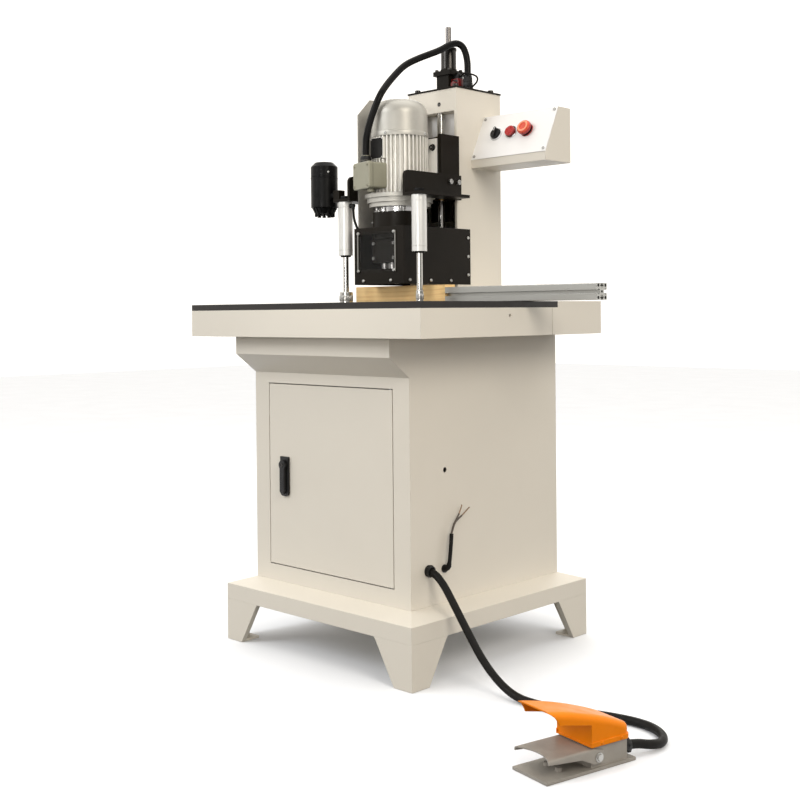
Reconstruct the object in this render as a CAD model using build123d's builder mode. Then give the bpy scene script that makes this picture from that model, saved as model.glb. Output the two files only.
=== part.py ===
from build123d import *
import os
from math import atan2, cos, degrees, hypot, radians, sin, tan

os.makedirs("parts", exist_ok=True)

# Hinge boring machine, in millimetres. +Z is up, +X is the operator's right, +Y points to the back.
# The origin is on the floor, midway between the four feet.

# Clearances
RUNNING = 0.05              # radial clearance of a shaft in its bore
HOLE_CLEARANCE = 0.2        # radial clearance of a bolt or a fixed piece in its hole
SLIDE_GAP = 2.0             # between plates that slide past one another
CONTROL_GAP = 0.4           # between a turning or pressed control and its seat

# Feet and plinth
BASE_WIDTH = 697.0          # width and depth over the feet
FOOT_HEIGHT = 110.0
FOOT_TOP_WIDTH = 125.0
FOOT_SOLE_WIDTH = 60.0
FOOT_SHEET = 4.0
FOOT_LIP = 14.0             # depth of the fold along each sloping edge
SOLE_THICKNESS = 6.0
ANCHOR_BORE = 13.0
ANCHOR_INSET = 32.0         # bore centre from the outer faces of a foot
PLINTH_BAND = 42.0
PLINTH_RISE = 18.5
PLINTH_SHEET = 3.0

# Cabinet
CABINET_WIDTH = 582.0
CABINET_DEPTH = 583.0
CABINET_SHIFT = 2.5         # middle of the cabinet behind the middle of the feet
CABINET_SHEET = 2.5
FLARE_REACH = 67.0          # how far the front leans out under the table
FLARE_BAND = 47.0           # upright band at the top of the flare
FLARE_RISE = 50.5           # height of the sloping part
CABLE_HOLE = 13.0
CABLE_HOLE_Y = -164.0
CABLE_HOLE_Z = 498.0

# Door
DOOR_WIDTH = 465.0
DOOR_BOTTOM = 216.0
DOOR_HEIGHT = 484.0
DOOR_DEPTH = 18.0
DOOR_SHEET = 2.0
DOOR_GAP = 2.5
PIVOT_RADIUS = 2.5
PIVOT_INSET = 12.0          # pivot from the door's right edge
PIVOT_SETBACK = 6.0         # pivot behind the door's face
PIVOT_BLOCK = 24.0
PIVOT_BLOCK_DEPTH = 16.0
PIVOT_ENGAGEMENT = 9.0      # pin length inside the door
LATCH_X = -168.0
LATCH_TOP = 507.0
LATCH_WIDTH = 32.0
LATCH_LENGTH = 105.0
LATCH_THICKNESS = 6.0
LATCH_PIVOT_DROP = 22.0     # turning axis below the top of the plate
LATCH_SPINDLE = 5.0
LEVER_WIDTH = 19.0
LEVER_THICKNESS = 9.0
TONGUE_REACH = 74.0
TONGUE_WIDTH = 18.0
TONGUE_SHEET = 4.0

# Electrics inside the cabinet
PLATE_WIDTH = 320.0
PLATE_HEIGHT = 260.0
PLATE_SHEET = 3.0
PLATE_BOTTOM = 380.0
CONTACTOR_WIDTH = 75.0
CONTACTOR_HEIGHT = 90.0
CONTACTOR_DEPTH = 78.0
TERMINAL_STRIP = (180.0, 36.0, 45.0)

# Table
TABLE_WIDTH = 865.0
TABLE_FRONT = -397.5
TABLE_REAR = 308.0
TABLE_HEIGHT = 914.5
APRON_HEIGHT = 86.0
APRON_SHEET = 3.0
TOP_THICKNESS = 16.0
TOP_CHAMFER = 1.0
SEAM_Y = 92.0
SEAM_WIDTH = 2.0
SEAM_DEPTH = 1.0
APRON_HOLE = 8.0
APRON_HOLE_Y = -78.0
APRON_HOLE_Z = TABLE_HEIGHT - 35.5

# Drilling pattern and fence
MOTOR_Y = -14.5             # motor axis
SPINDLE_OFFSET = 30.0       # middle spindle in front of the motor axis
DOWEL_SPACING = 48.0        # between the two outer spindles
DOWEL_OFFSET = 6.0          # outer spindles in front of the middle one
CUP_SETBACK = 22.5          # middle spindle to the fence face
FENCE_SIDE = 40.0
FENCE_RIGHT = 649.0
FENCE_SLOT = 8.2
FENCE_LIP = 4.5
FENCE_CAVITY = 16.0
FENCE_CAVITY_DEPTH = 7.5
FENCE_CENTRE_BORE = 6.8
FENCE_CORNER_BORE = 8.0
FENCE_CORNER = 14.5         # corner bores from the middle of the section
BLOCK_LENGTH = 338.0
BLOCK_HEIGHT = 47.0
BOLT_RADIUS = 4.0
NUT_RADIUS = 7.5
NUT_HEIGHT = 6.5
HEAD_RADIUS = 6.5
HEAD_HEIGHT = 6.0
RAIL_BOLTS_X = (230.0, 320.0, 410.0)
BLOCK_BOLT_X = 120.0
BLOCK_BORE_DEPTH = 14.0

# Column and guide rods
COLUMN_WIDTH = 182.0
COLUMN_DEPTH = 190.0
COLUMN_TOP = TABLE_HEIGHT + 595.5
COLUMN_WALL = 8.0
COLUMN_FLOOR = 12.0
TOP_BLOCK = 63.0
SLOT_BOTTOM = TABLE_HEIGHT + 175.5
ROD_SHELF = 30.0
ROD_SHELF_DEPTH = 60.0
ROD_LEFT = 45.0
ROD_RIGHT = 19.0
ROD_SETBACK = 15.0          # guide rods behind the column's front face
ROD_RADIUS = 10.0
ROD_SOCKET = 45.0           # rod length held in the top block
WEB_SETBACK = 34.0          # panel behind the rods
WEB_SHEET = 8.0
CAP_SHEET = 4.5
CAP_OVERHANG = 2.0
CAP_BOLT_X = 72.0
CAP_BOLT_INSET = 19.0
CAP_BOLT_LENGTH = 24.0
SET_SCREW_X = 27.0
SET_SCREW_DROP = 40.0       # below the column top
SET_SCREW_RADIUS = 6.0

# Feed cylinder
FEED_SETBACK = 72.0         # piston rod behind the column's front face
FEED_BLOCK_WIDTH = 45.0
FEED_BLOCK_DEPTH = 53.0
FEED_BLOCK_HEIGHT = 46.5
FEED_FLANGE = 63.0
FEED_FLANGE_HEIGHT = 13.0
FEED_BARREL_RADIUS = 22.0
FEED_BARREL_HEIGHT = 68.0
FEED_SUMP = 12.0            # bore carried on into the flange
FEED_BORE = 18.0
FEED_HEAD_WALL = 8.0
FEED_ROD = 8.0
FEED_ROD_TOP = TABLE_HEIGHT + 787.5
PISTON_HEIGHT = 14.0
VALVE_WIDTH = 26.0
VALVE_DEPTH = 28.0
VALVE_HEIGHT = 34.0
VALVE_COIL = 9.0
VALVE_COIL_LENGTH = 8.0

# Guard and side shield
GUARD_SHEET = 2.0
GUARD_FRONT = -100.0
GUARD_REAR = 170.0
GUARD_BOTTOM = TABLE_HEIGHT + 50.5
GUARD_HEIGHT = 154.0
WINDOW_LEFT = -78.0
WINDOW_WIDTH = 143.0
WINDOW_BOTTOM = TABLE_HEIGHT + 83.5
WINDOW_HEIGHT = 110.0
WINDOW_SHEET = 3.0
WINDOW_LAP = 8.0            # window beyond its opening
SCREW_RADIUS = 4.0
SCREW_HEIGHT = 2.5
SHANK_RADIUS = 2.0
GUARD_FOOT_SCREW = 10.0     # lower screws above the guard's edge
GUARD_FRONT_SCREWS = (-58.0, 46.0)
GUARD_SIDE_SCREWS = (-76.0, 6.0, 87.0)
GUARD_REAR_SCREW_INSET = 10.0
GUARD_REAR_SCREWS = (27.0, 78.0, 130.0)
SHIELD_SHEET = 3.0
SHIELD_FRONT = -75.0
SHIELD_BOTTOM = TABLE_HEIGHT + 203.5
SHIELD_TOP = TABLE_HEIGHT + 566.5
SHIELD_CUT = 47.0

# Clamp brackets, arms and cylinders
BRACKET_BOTTOM = TABLE_HEIGHT + 283.5
BRACKET_HEIGHT = 175.0
BRACKET_OUTER = 100.0
BRACKET_WALL = 12.0
BRACKET_FRONT = 44.0
BRACKET_FLANGES = {-1: 30.0, 1: 42.0}
BRACKET_FLANGE_WALL = 10.0
ARM_SHEET = 8.0
ARM_BOTTOM = TABLE_HEIGHT + 281.5
ARM_HEIGHT = 67.5
ARM_FRONT = -108.0
ARM_REAR = 117.0
ARM_LEDGE_WIDTH = 65.0
ARM_LEDGE_REAR = 86.0
ARM_CORNER = 16.0
ARM_BOLTS_Y = (70.0, 103.0)
ARM_BOLT_Z = TABLE_HEIGHT + 329.5
CLAMP_X = 140.0
CLAMP_Y = -88.0
CLAMP_RADIUS = 20.0
CLAMP_LENGTH = 148.0
CLAMP_BORE = 16.0
CLAMP_END_WALL = 12.0
CLAMP_STUD = 8.0
CLAMP_NUT = 12.0
CLAMP_NUT_HEIGHT = 8.0
CLAMP_ROD = 8.0
CLAMP_PISTON = 12.0
LEFT_FOOT_RADIUS = 18.5
RIGHT_FOOT_RADIUS = 10.0
CLAMP_FOOT_HEIGHT = 32.0
CLAMP_FOOT_GAP = 0.5        # foot above the table when the rod is out
CLAMP_FOOT_ROUND = 1.5

# Work lamp
LAMP_X = -226.0
LAMP_RADIUS = 38.0
LAMP_BOTTOM = TABLE_HEIGHT + 253.5
LAMP_RIM_RADIUS = 24.0
LAMP_SHOULDER_RADIUS = 33.0
LAMP_TAPER = 18.0
LAMP_BODY = 85.0
LAMP_CAP = 42.0
LAMP_GROOVE = 1.5
LAMP_WALL = 3.0
LAMP_CHAMFER = 12.0
LENS_THICKNESS = 3.0
LENS_RECESS = 4.0
LAMP_PIVOT_Z = TABLE_HEIGHT + 302.5
LAMP_PIN = 4.0
LAMP_PIN_DEPTH = 10.0
LAMP_BOSS = 11.0
LAMP_BOSS_LENGTH = 16.0
LAMP_BLOCK_WIDTH = 14.0
LAMP_BLOCK_HEIGHT = 26.0

# Control box
CONTROL_WIDTH = 258.5
CONTROL_FRONT = 180.0
CONTROL_REAR = 291.0
CONTROL_BOTTOM = TABLE_HEIGHT + 375.5
CONTROL_TOP = TABLE_HEIGHT + 523.5
CONTROL_LIP = 23.0
CONTROL_LEAN = 59.0
CONTROL_SHEET = 2.0
PANEL_SCREW_INSET = 9.0
SWITCH_HEIGHT = 74.0        # switch row above the panel's lower edge, along the slope
SELECTOR_X = 158.0
BUTTON_X = 211.0
STOP_X = 265.0
BEZEL_RADIUS = 18.5
BEZEL_HEIGHT = 3.5
SWITCH_BARREL = 11.2
SWITCH_BORE = 6.0
SWITCH_BLOCK = 30.0
SWITCH_BLOCK_DEPTH = 32.0
SWITCH_STEM = 20.0
BUTTON_RADIUS = 15.0
BUTTON_HEIGHT = 7.0
BUTTON_TRAVEL = 4.0
KNOB_RADIUS = 15.0
KNOB_BASE = 6.0
KNOB_GRIP_LENGTH = 33.0
KNOB_GRIP_WIDTH = 8.0
KNOB_GRIP_HEIGHT = 12.0
STOP_RADIUS = 20.0
STOP_HEAD = 14.0
STOP_TRAVEL = 5.0

# Carriage and saddle
CARRIAGE_BOTTOM = TABLE_HEIGHT + 290.5
CARRIAGE_HEIGHT = 173.0
CARRIAGE_WIDTH = 124.0
CARRIAGE_DEPTH = 60.0
NECK_RIGHT = 38.0
TAIL_DROP = 60.0
BUSH_RADIUS = 14.0
BUSH_LENGTH = 45.0
BUSH_FLANGE = 3.0
BUSH_FLANGE_RADIUS = 17.0
SADDLE_WIDTH = 168.0
SADDLE_FRONT = 44.0
SADDLE_BOTTOM = TABLE_HEIGHT + 296.5
SADDLE_HEIGHT = 151.5
SADDLE_FIT = 0.2
SADDLE_SCREW_X = 69.0
SADDLE_SCREW_INSET = 24.0
SADDLE_SCREW_RADIUS = 6.5
SADDLE_SCREW_HEIGHT = 7.0

# Motor, adapter and gear head
FLANGE_BOTTOM = TABLE_HEIGHT + 260
FLANGE_RADIUS = 84.0
FLANGE_DISC = 11.5
FLANGE_RINGS = ((90.0, 13.0), (96.0, 11.0))
MOTOR_CORE = 68.0
FIN_RADIUS = 78.5
FIN_COUNT = 40
FIN_THICKNESS = 3.5
MOTOR_HEIGHT = 154.0
STATOR_BORE = 44.0
SHIELD_WALL = 10.0
FAN_COVER_RADIUS = 77.0
FAN_COVER_HEIGHT = 102.5
FAN_COVER_SHEET = 1.5
FAN_DOME = 41.0
VENT_COUNT = 12
VENT_LENGTH = 18.0
VENT_WIDTH = 5.0
VENT_RADIUS = 23.0
PLATE_PAD_WIDTH = 54.0
PLATE_PAD_HEIGHT = 57.0
PLATE_PAD_BOTTOM = TABLE_HEIGHT + 388.5
PLATE_PAD_REACH = 80.0
PLATE_PAD_TURN = 6.0        # pad turned to the left of straight ahead
TERMINAL_TURN = 15.0        # terminal box turned to the left of straight ahead
TERMINAL_WIDTH = 89.0
TERMINAL_BOTTOM = TABLE_HEIGHT + 305.5
TERMINAL_HEIGHT = 73.0
TERMINAL_REACH = 122.0      # lid face from the motor axis
TERMINAL_LID = 12.0
TERMINAL_LID_LAP = 2.0
TERMINAL_ROUND = 8.0
TERMINAL_LID_ROUND = 3.0
TERMINAL_GLAND = 13.0
TERMINAL_GLAND_HEIGHT = 22.0
TERMINAL_GLAND_LEFT = 13.0
TERMINAL_GLAND_REACH = 99.0
TERMINAL_PLUG = 10.0
TERMINAL_PLUG_HEIGHT = 9.0
ADAPTER_RADIUS = 75.0
ADAPTER_HEIGHT = 74.0
ADAPTER_NECK = 50.0
ADAPTER_NECK_HEIGHT = 13.5
ADAPTER_BORE = 20.0
ADAPTER_BOLT_CIRCLE = 64.0
ADAPTER_BOLT_COUNT = 8
GEAR_CASE_WIDTH = 104.0
GEAR_CASE_FRONT = 34.0      # case wall in front of the middle spindle
GEAR_CASE_REAR = 30.0       # case wall behind the motor axis
GEAR_CASE_HEIGHT = 63.0
GEAR_CASE_WALL = 10.0
GEAR_CASE_FLOOR = 8.0
GEAR_CASE_ROUND = 14.0
SHAFT_RADIUS = 9.5
ROTOR_RADIUS = 42.5
ROTOR_INSET = 20.0
FAN_RADIUS = 60.0
FAN_HUB = 16.0
FAN_BLADES = 6
FAN_HEIGHT = 30.0
FAN_BLADE = 2.0
FAN_RISE = 18.0
PINION_TEETH = 20
DOWEL_TEETH = 16
GEAR_WIDTH = 14.0
UPPER_GEAR_RISE = 38.0      # upper gears above the bottom of the case
LOWER_GEAR_RISE = 16.0
TOOTH_TIP = 0.35            # beyond the pitch circle
TOOTH_ROOT = 1.4            # inside the pitch circle
TOOTH_SHARE = 0.4           # tooth width as a share of the pitch
MIDDLE_SHAFT = 9.0
OUTER_SHAFT = 7.0
SHAFT_SOCKET = 9.0          # upper end of a spindle in the adapter
CHUCK_GAP = 0.5
MIDDLE_CHUCK = 13.0
OUTER_CHUCK = 10.0
CHUCK_HEIGHT = 15.0
CUTTER_RADIUS = 17.5
CUTTER_STEM = 5.0
CUTTER_STEM_HEIGHT = 24.0
CUTTER_HEAD = 16.0
CUTTER_POINT = 2.0
DOWEL_BIT = 4.0
DOWEL_BIT_LENGTH = 38.0
DOWEL_POINT = 3.0

# Foot pedal, standing on the floor to the right
PEDAL_X = 880.0
PEDAL_Y = -443.0
PEDAL_TURN = -12.3
PEDAL_WIDTH = 102.0
PEDAL_FRONT = -117.0
PEDAL_REAR = 113.0
PEDAL_PLATE = 6.0
HOUSING_WIDTH = 90.0
HOUSING_FRONT = 0.0
HOUSING_REAR = 95.0
HOUSING_TOP = 48.0
HOUSING_WALL = 3.0
TREADLE_TOP = 45.0
TREADLE_SHEET = 3.0
TREADLE_FRONT = -112.0
TREADLE_NOTCH = 16.0
TREADLE_LIP = 8.0
TREADLE_ROUND = 5.0
TREADLE_HEEL = 28.0
TREADLE_PIVOT_Y = 16.0
TREADLE_PIVOT_Z = 26.0
TREADLE_EAR = 12.0          # ear below and behind the pivot
PEDAL_PIN = 4.0
PEDAL_PIN_HEAD = 7.0
PEDAL_PIN_HEAD_HEIGHT = 3.0
HOOD_SHEET = 3.0
HOOD_TIP_Y = -107.0
HOOD_TIP_Z = 135.0
HOOD_CREST_Y = 8.0
HOOD_CREST_Z = 108.0
HOOD_REAR = 98.0
HOOD_REAR_Z = 76.0
HOOD_FACE = -3.0            # front wall of the cover under the visor
HOOD_SKIRT_Y = -85.0        # lower front corner of the visor's side
HOOD_SKIRT_Z = 107.0
HOOD_SKIRT_SWEEP = 2.5      # hollow of the side's front edge
HOOD_SKIRT_DROP = 17.0      # depth of the side where it meets the cover
HOOD_ROUND = 14.0
HOOD_RIM = 2.0
HOOD_RIM_HEIGHT = 9.0
PEDAL_GLAND_X = 28.0
PEDAL_GLAND_Z = 24.0
PEDAL_GLAND_LENGTH = 10.0

# Glands and cords
HOSE_DIAMETER = 19.0
HOSE_EXIT_Y = -227.0
HOSE_EXIT_Z = 258.0
MAINS_DIAMETER = 10.0
MAINS_EXIT_Y = -170.0
MAINS_EXIT_Z = 255.0
CORE_DIAMETER = 3.6
GLAND_WALL = 5.0
GLAND_FLANGE = 4.0
GLAND_NECK = 8.0
GLAND_STRAIGHT = 32.0       # straight hose behind the pedal
CONDUIT_DIAMETER = 19.0
CONDUIT_GLAND_X = 68.0
CONDUIT_GLAND_Y = 194.0
CONDUIT_GLAND_RADIUS = 14.0
CONDUIT_GLAND_HEIGHT = 43.0


def level(height):
    """Horizontal plane at a height."""
    return Plane.XY.offset(height)


def facing(depth):
    """Upright plane that faces the operator; sketches there are drawn in X and Z."""
    return Plane.XZ.offset(-depth)


def sideways(place):
    """Upright plane that faces +X; sketches there are drawn in Y and Z."""
    return Plane.YZ.offset(place)


def upright(x, y):
    """Half plane for turned pieces on a vertical axis; sketches there are radius and height."""
    return Plane(origin=(x, y, 0), x_dir=(1, 0, 0), z_dir=(0, -1, 0))


def span(first_low, first_high, second_low, second_high, mode=Mode.ADD):
    """Rectangle between two pairs of limits in the current sketch."""
    with Locations(((first_low + first_high) / 2, (second_low + second_high) / 2)):
        Rectangle(abs(first_high - first_low), abs(second_high - second_low), mode=mode)


def outline(*points, mode=Mode.ADD):
    """Straight-edged face through points, given counter-clockwise, in the current sketch."""
    Polygon(*points, align=None, mode=mode)


# Places that follow from the sizes above
half_base = BASE_WIDTH / 2
plinth_edge = FOOT_HEIGHT + PLINTH_BAND
cabinet_floor = plinth_edge + PLINTH_RISE
cabinet_side = CABINET_WIDTH / 2
cabinet_front = CABINET_SHIFT - CABINET_DEPTH / 2
cabinet_rear = CABINET_SHIFT + CABINET_DEPTH / 2
table_side = TABLE_WIDTH / 2
table_underside = TABLE_HEIGHT - APRON_HEIGHT
top_underside = TABLE_HEIGHT - TOP_THICKNESS
deck_underside = top_underside - APRON_SHEET
deck_side = TABLE_WIDTH / 2 - APRON_SHEET
column_front = TABLE_REAR - COLUMN_DEPTH
column_side = COLUMN_WIDTH / 2
top_rear = column_front - SLIDE_GAP
rod_y = column_front + ROD_SETBACK
rod_places = ((-ROD_LEFT, rod_y), (ROD_RIGHT, rod_y))
web_front = column_front + WEB_SETBACK
feed_y = column_front + FEED_SETBACK
spindle_y = MOTOR_Y - SPINDLE_OFFSET
fence_front = spindle_y + CUP_SETBACK
fence_rear = fence_front + FENCE_SIDE
block_top = TABLE_HEIGHT + BLOCK_HEIGHT
fence_left = BLOCK_LENGTH / 2
cap_top = COLUMN_TOP + CAP_SHEET


# Feet: folded corner sheets with a sole and an anchor bore
foot_corners = (
    Plane(origin=(-half_base, -half_base, 0), x_dir=(1, 0, 0), z_dir=(0, 0, 1)),
    Plane(origin=(half_base, -half_base, 0), x_dir=(0, 1, 0), z_dir=(0, 0, 1)),
    Plane(origin=(half_base, half_base, 0), x_dir=(-1, 0, 0), z_dir=(0, 0, 1)),
    Plane(origin=(-half_base, half_base, 0), x_dir=(0, -1, 0), z_dir=(0, 0, 1)),
)
with BuildPart() as feet:
    for corner in foot_corners:
        walls = (
            (Plane(corner.origin, x_dir=corner.x_dir, z_dir=corner.y_dir * -1), -1),
            (Plane(corner.origin, x_dir=corner.y_dir, z_dir=corner.x_dir), 1),
        )
        for wall, inward in walls:
            with BuildSketch(wall):
                outline(
                    (0, 0), (FOOT_SOLE_WIDTH, 0), (FOOT_TOP_WIDTH, FOOT_HEIGHT), (0, FOOT_HEIGHT)
                )
            extrude(amount=inward * FOOT_SHEET)
            with BuildSketch(wall):
                outline(
                    (FOOT_SOLE_WIDTH - FOOT_SHEET, 0),
                    (FOOT_SOLE_WIDTH, 0),
                    (FOOT_TOP_WIDTH, FOOT_HEIGHT),
                    (FOOT_TOP_WIDTH - FOOT_SHEET, FOOT_HEIGHT),
                )
            extrude(amount=inward * FOOT_LIP)
        with BuildSketch(corner):
            span(0, FOOT_SOLE_WIDTH, 0, FOOT_SOLE_WIDTH)
            with Locations((ANCHOR_INSET, ANCHOR_INSET)):
                Circle(ANCHOR_BORE / 2, mode=Mode.SUBTRACT)
        extrude(amount=SOLE_THICKNESS)
        with BuildSketch(corner.offset(FOOT_HEIGHT)):
            outline((0, 0), (FOOT_TOP_WIDTH, 0), (0, FOOT_TOP_WIDTH))
        extrude(amount=-FOOT_SHEET)
feet.part.label = "feet"
export_step(feet.part, "parts/feet.step")


# Plinth: pan with an upright band and a top that slopes up to the cabinet
with BuildPart() as base_plinth:
    with BuildSketch(level(FOOT_HEIGHT)):
        Rectangle(BASE_WIDTH, BASE_WIDTH)
    extrude(amount=PLINTH_BAND)
    with BuildSketch(level(plinth_edge)):
        Rectangle(BASE_WIDTH, BASE_WIDTH)
    with BuildSketch(level(cabinet_floor)):
        with Locations((0, CABINET_SHIFT)):
            Rectangle(CABINET_WIDTH, CABINET_DEPTH)
    loft(ruled=True)
    offset(
        amount=-PLINTH_SHEET,
        openings=base_plinth.faces().sort_by(Axis.Z)[0],
        kind=Kind.INTERSECTION,
    )
base_plinth.part.label = "base_plinth"
export_step(base_plinth.part, "parts/base_plinth.step")


# Cabinet: sheet body with a flared front that carries the table's deck, open to the plinth below
flare_front = cabinet_front - FLARE_REACH
flare_band_bottom = table_underside - FLARE_BAND
flare_bottom = flare_band_bottom - FLARE_RISE
door_side = DOOR_WIDTH / 2
door_top = DOOR_BOTTOM + DOOR_HEIGHT
opening_side = door_side + DOOR_GAP
opening_bottom = DOOR_BOTTOM - DOOR_GAP
opening_top = door_top + DOOR_GAP
hose_neck = HOSE_DIAMETER / 2 + GLAND_WALL / 2
mains_neck = MAINS_DIAMETER / 2 + GLAND_WALL / 2
with BuildPart() as cabinet_shell:
    with BuildSketch(sideways(-cabinet_side)):
        outline(
            (cabinet_front, cabinet_floor),
            (cabinet_rear, cabinet_floor),
            (cabinet_rear, deck_underside),
            (flare_front, deck_underside),
            (flare_front, flare_band_bottom),
            (cabinet_front, flare_bottom),
        )
    extrude(amount=CABINET_WIDTH)
    offset(
        amount=-CABINET_SHEET,
        openings=cabinet_shell.faces().filter_by(Axis.Z),
        kind=Kind.INTERSECTION,
    )
    with BuildSketch(facing(cabinet_front)):
        span(-opening_side, opening_side, opening_bottom, opening_top)
    extrude(amount=-CABINET_SHEET, mode=Mode.SUBTRACT)
    with BuildSketch(sideways(cabinet_side)):
        with Locations((CABLE_HOLE_Y, CABLE_HOLE_Z)):
            Circle(CABLE_HOLE / 2)
        with Locations((HOSE_EXIT_Y, HOSE_EXIT_Z)):
            Circle(hose_neck + HOLE_CLEARANCE)
        with Locations((MAINS_EXIT_Y, MAINS_EXIT_Z)):
            Circle(mains_neck + HOLE_CLEARANCE)
    extrude(amount=-CABINET_SHEET, mode=Mode.SUBTRACT)
cabinet_shell.part.label = "cabinet_shell"
export_step(cabinet_shell.part, "parts/cabinet_shell.step")


# Door: flush sheet pan that turns on two pins near its right edge
pivot_x = door_side - PIVOT_INSET
pivot_y = cabinet_front + PIVOT_SETBACK
latch_pivot_z = LATCH_TOP - LATCH_PIVOT_DROP
with BuildPart() as cabinet_door:
    with BuildSketch(facing(cabinet_front)):
        span(-door_side, door_side, DOOR_BOTTOM, door_top)
    extrude(amount=-DOOR_DEPTH)
    offset(
        amount=-DOOR_SHEET,
        openings=cabinet_door.faces().sort_by(Axis.Y)[-1],
        kind=Kind.INTERSECTION,
    )
    with BuildSketch(level(DOOR_BOTTOM)):
        with Locations((pivot_x, pivot_y)):
            Circle(PIVOT_RADIUS + RUNNING)
    extrude(amount=DOOR_HEIGHT, mode=Mode.SUBTRACT)
    with BuildSketch(facing(cabinet_front)):
        with Locations((LATCH_X, latch_pivot_z)):
            Circle(LATCH_SPINDLE + HOLE_CLEARANCE)
    extrude(amount=-DOOR_SHEET, mode=Mode.SUBTRACT)
cabinet_door.part.label = "cabinet_door"
export_step(cabinet_door.part, "parts/cabinet_door.step")

pivot_seat = cabinet_front + CABINET_SHEET
pin_length = DOOR_GAP + PIVOT_ENGAGEMENT
with BuildPart() as door_pivots:
    for edge, outward in ((opening_top, 1), (opening_bottom, -1)):
        with BuildSketch(level(edge)):
            span(
                pivot_x - PIVOT_BLOCK / 2,
                pivot_x + PIVOT_BLOCK / 2,
                pivot_seat,
                pivot_seat + PIVOT_BLOCK_DEPTH,
            )
        extrude(amount=outward * PIVOT_BLOCK)
        with BuildSketch(level(edge)):
            with Locations((pivot_x, pivot_y)):
                Circle(PIVOT_RADIUS)
        extrude(amount=-outward * pin_length)
door_pivots.part.label = "door_pivots"
export_step(door_pivots.part, "parts/door_pivots.step")


# Latch: plate on the door, lever in front of it and a tongue behind the door
latch_face = cabinet_front - LATCH_THICKNESS
with BuildPart() as latch_plate:
    with BuildSketch(facing(cabinet_front)) as plate_sketch:
        span(
            LATCH_X - LATCH_WIDTH / 2, LATCH_X + LATCH_WIDTH / 2, LATCH_TOP - LATCH_LENGTH, LATCH_TOP
        )
        fillet(plate_sketch.vertices().group_by(Axis.Y)[0], LATCH_WIDTH / 3)
        with Locations((LATCH_X, latch_pivot_z)):
            Circle(LATCH_SPINDLE + RUNNING, mode=Mode.SUBTRACT)
    extrude(amount=LATCH_THICKNESS)
latch_plate.part.label = "latch_plate"
export_step(latch_plate.part, "parts/latch_plate.step")

lever_back = latch_face - CONTROL_GAP
tongue_front = cabinet_front + DOOR_DEPTH + SLIDE_GAP
lever_drop = LATCH_LENGTH - LATCH_PIVOT_DROP - LEVER_WIDTH / 2 - LATCH_THICKNESS
with BuildPart() as latch_lever:
    with BuildSketch(facing(lever_back)):
        with Locations((LATCH_X, latch_pivot_z)):
            Circle(LATCH_WIDTH / 2 - LATCH_THICKNESS / 2)
        with Locations((LATCH_X, latch_pivot_z - lever_drop / 2)):
            Rectangle(LEVER_WIDTH, lever_drop)
        with Locations((LATCH_X, latch_pivot_z - lever_drop)):
            Circle(LEVER_WIDTH / 2)
    extrude(amount=LEVER_THICKNESS)
    fillet(latch_lever.edges().group_by(Axis.Y)[0], LEVER_THICKNESS / 4)
    with BuildSketch(facing(lever_back)):
        with Locations((LATCH_X, latch_pivot_z)):
            Circle(LATCH_SPINDLE)
    extrude(amount=-(tongue_front + TONGUE_SHEET - lever_back))
    with BuildSketch(facing(tongue_front)):
        span(
            LATCH_X - TONGUE_WIDTH / 2,
            LATCH_X + TONGUE_WIDTH / 2,
            latch_pivot_z - TONGUE_WIDTH / 2,
            latch_pivot_z + TONGUE_REACH,
        )
    extrude(amount=-TONGUE_SHEET)
latch_lever.part.label = "latch_lever"
export_step(latch_lever.part, "parts/latch_lever.step")


# Electrics plate on the back wall inside the cabinet
plate_rear = cabinet_rear - CABINET_SHEET
plate_front = plate_rear - PLATE_SHEET
with BuildPart() as electrics_panel:
    with BuildSketch(facing(plate_rear)):
        span(-PLATE_WIDTH / 2, PLATE_WIDTH / 2, PLATE_BOTTOM, PLATE_BOTTOM + PLATE_HEIGHT)
    extrude(amount=PLATE_SHEET)
    with BuildSketch(facing(plate_front)):
        with Locations((0, PLATE_BOTTOM + PLATE_HEIGHT * 2 / 3)):
            with GridLocations(CONTACTOR_WIDTH * 3 / 2, 0, 2, 1):
                Rectangle(CONTACTOR_WIDTH, CONTACTOR_HEIGHT)
    extrude(amount=CONTACTOR_DEPTH)
    with BuildSketch(facing(plate_front)):
        with Locations((0, PLATE_BOTTOM + TERMINAL_STRIP[1])):
            Rectangle(TERMINAL_STRIP[0], TERMINAL_STRIP[1])
    extrude(amount=TERMINAL_STRIP[2])
electrics_panel.part.label = "electrics_panel"
export_step(electrics_panel.part, "parts/electrics_panel.step")


# Table: apron frame, the folded deck between the aprons, and the dark top in front of the column
with BuildPart() as table_frame:
    with BuildSketch(sideways(-table_side)):
        outline(
            (TABLE_FRONT, table_underside),
            (TABLE_REAR, table_underside),
            (TABLE_REAR, TABLE_HEIGHT),
            (top_rear, TABLE_HEIGHT),
            (top_rear, top_underside),
            (TABLE_FRONT, top_underside),
        )
    extrude(amount=TABLE_WIDTH)
    with BuildSketch(level(table_underside)):
        span(-deck_side, deck_side, TABLE_FRONT + APRON_SHEET, TABLE_REAR - APRON_SHEET)
    extrude(amount=APRON_HEIGHT, mode=Mode.SUBTRACT)
    for edge, inward in ((table_side, -1), (-table_side, 1)):
        with BuildSketch(sideways(edge)):
            with Locations((SEAM_Y, table_underside)):
                Rectangle(SEAM_WIDTH, APRON_HEIGHT - TOP_THICKNESS, align=(Align.CENTER, Align.MIN))
        extrude(amount=inward * SEAM_DEPTH, mode=Mode.SUBTRACT)
    with BuildSketch(sideways(table_side)):
        with Locations((APRON_HOLE_Y, APRON_HOLE_Z)):
            Circle(APRON_HOLE / 2)
    extrude(amount=-APRON_SHEET, mode=Mode.SUBTRACT)
table_frame.part.label = "table_frame"
export_step(table_frame.part, "parts/table_frame.step")

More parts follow.
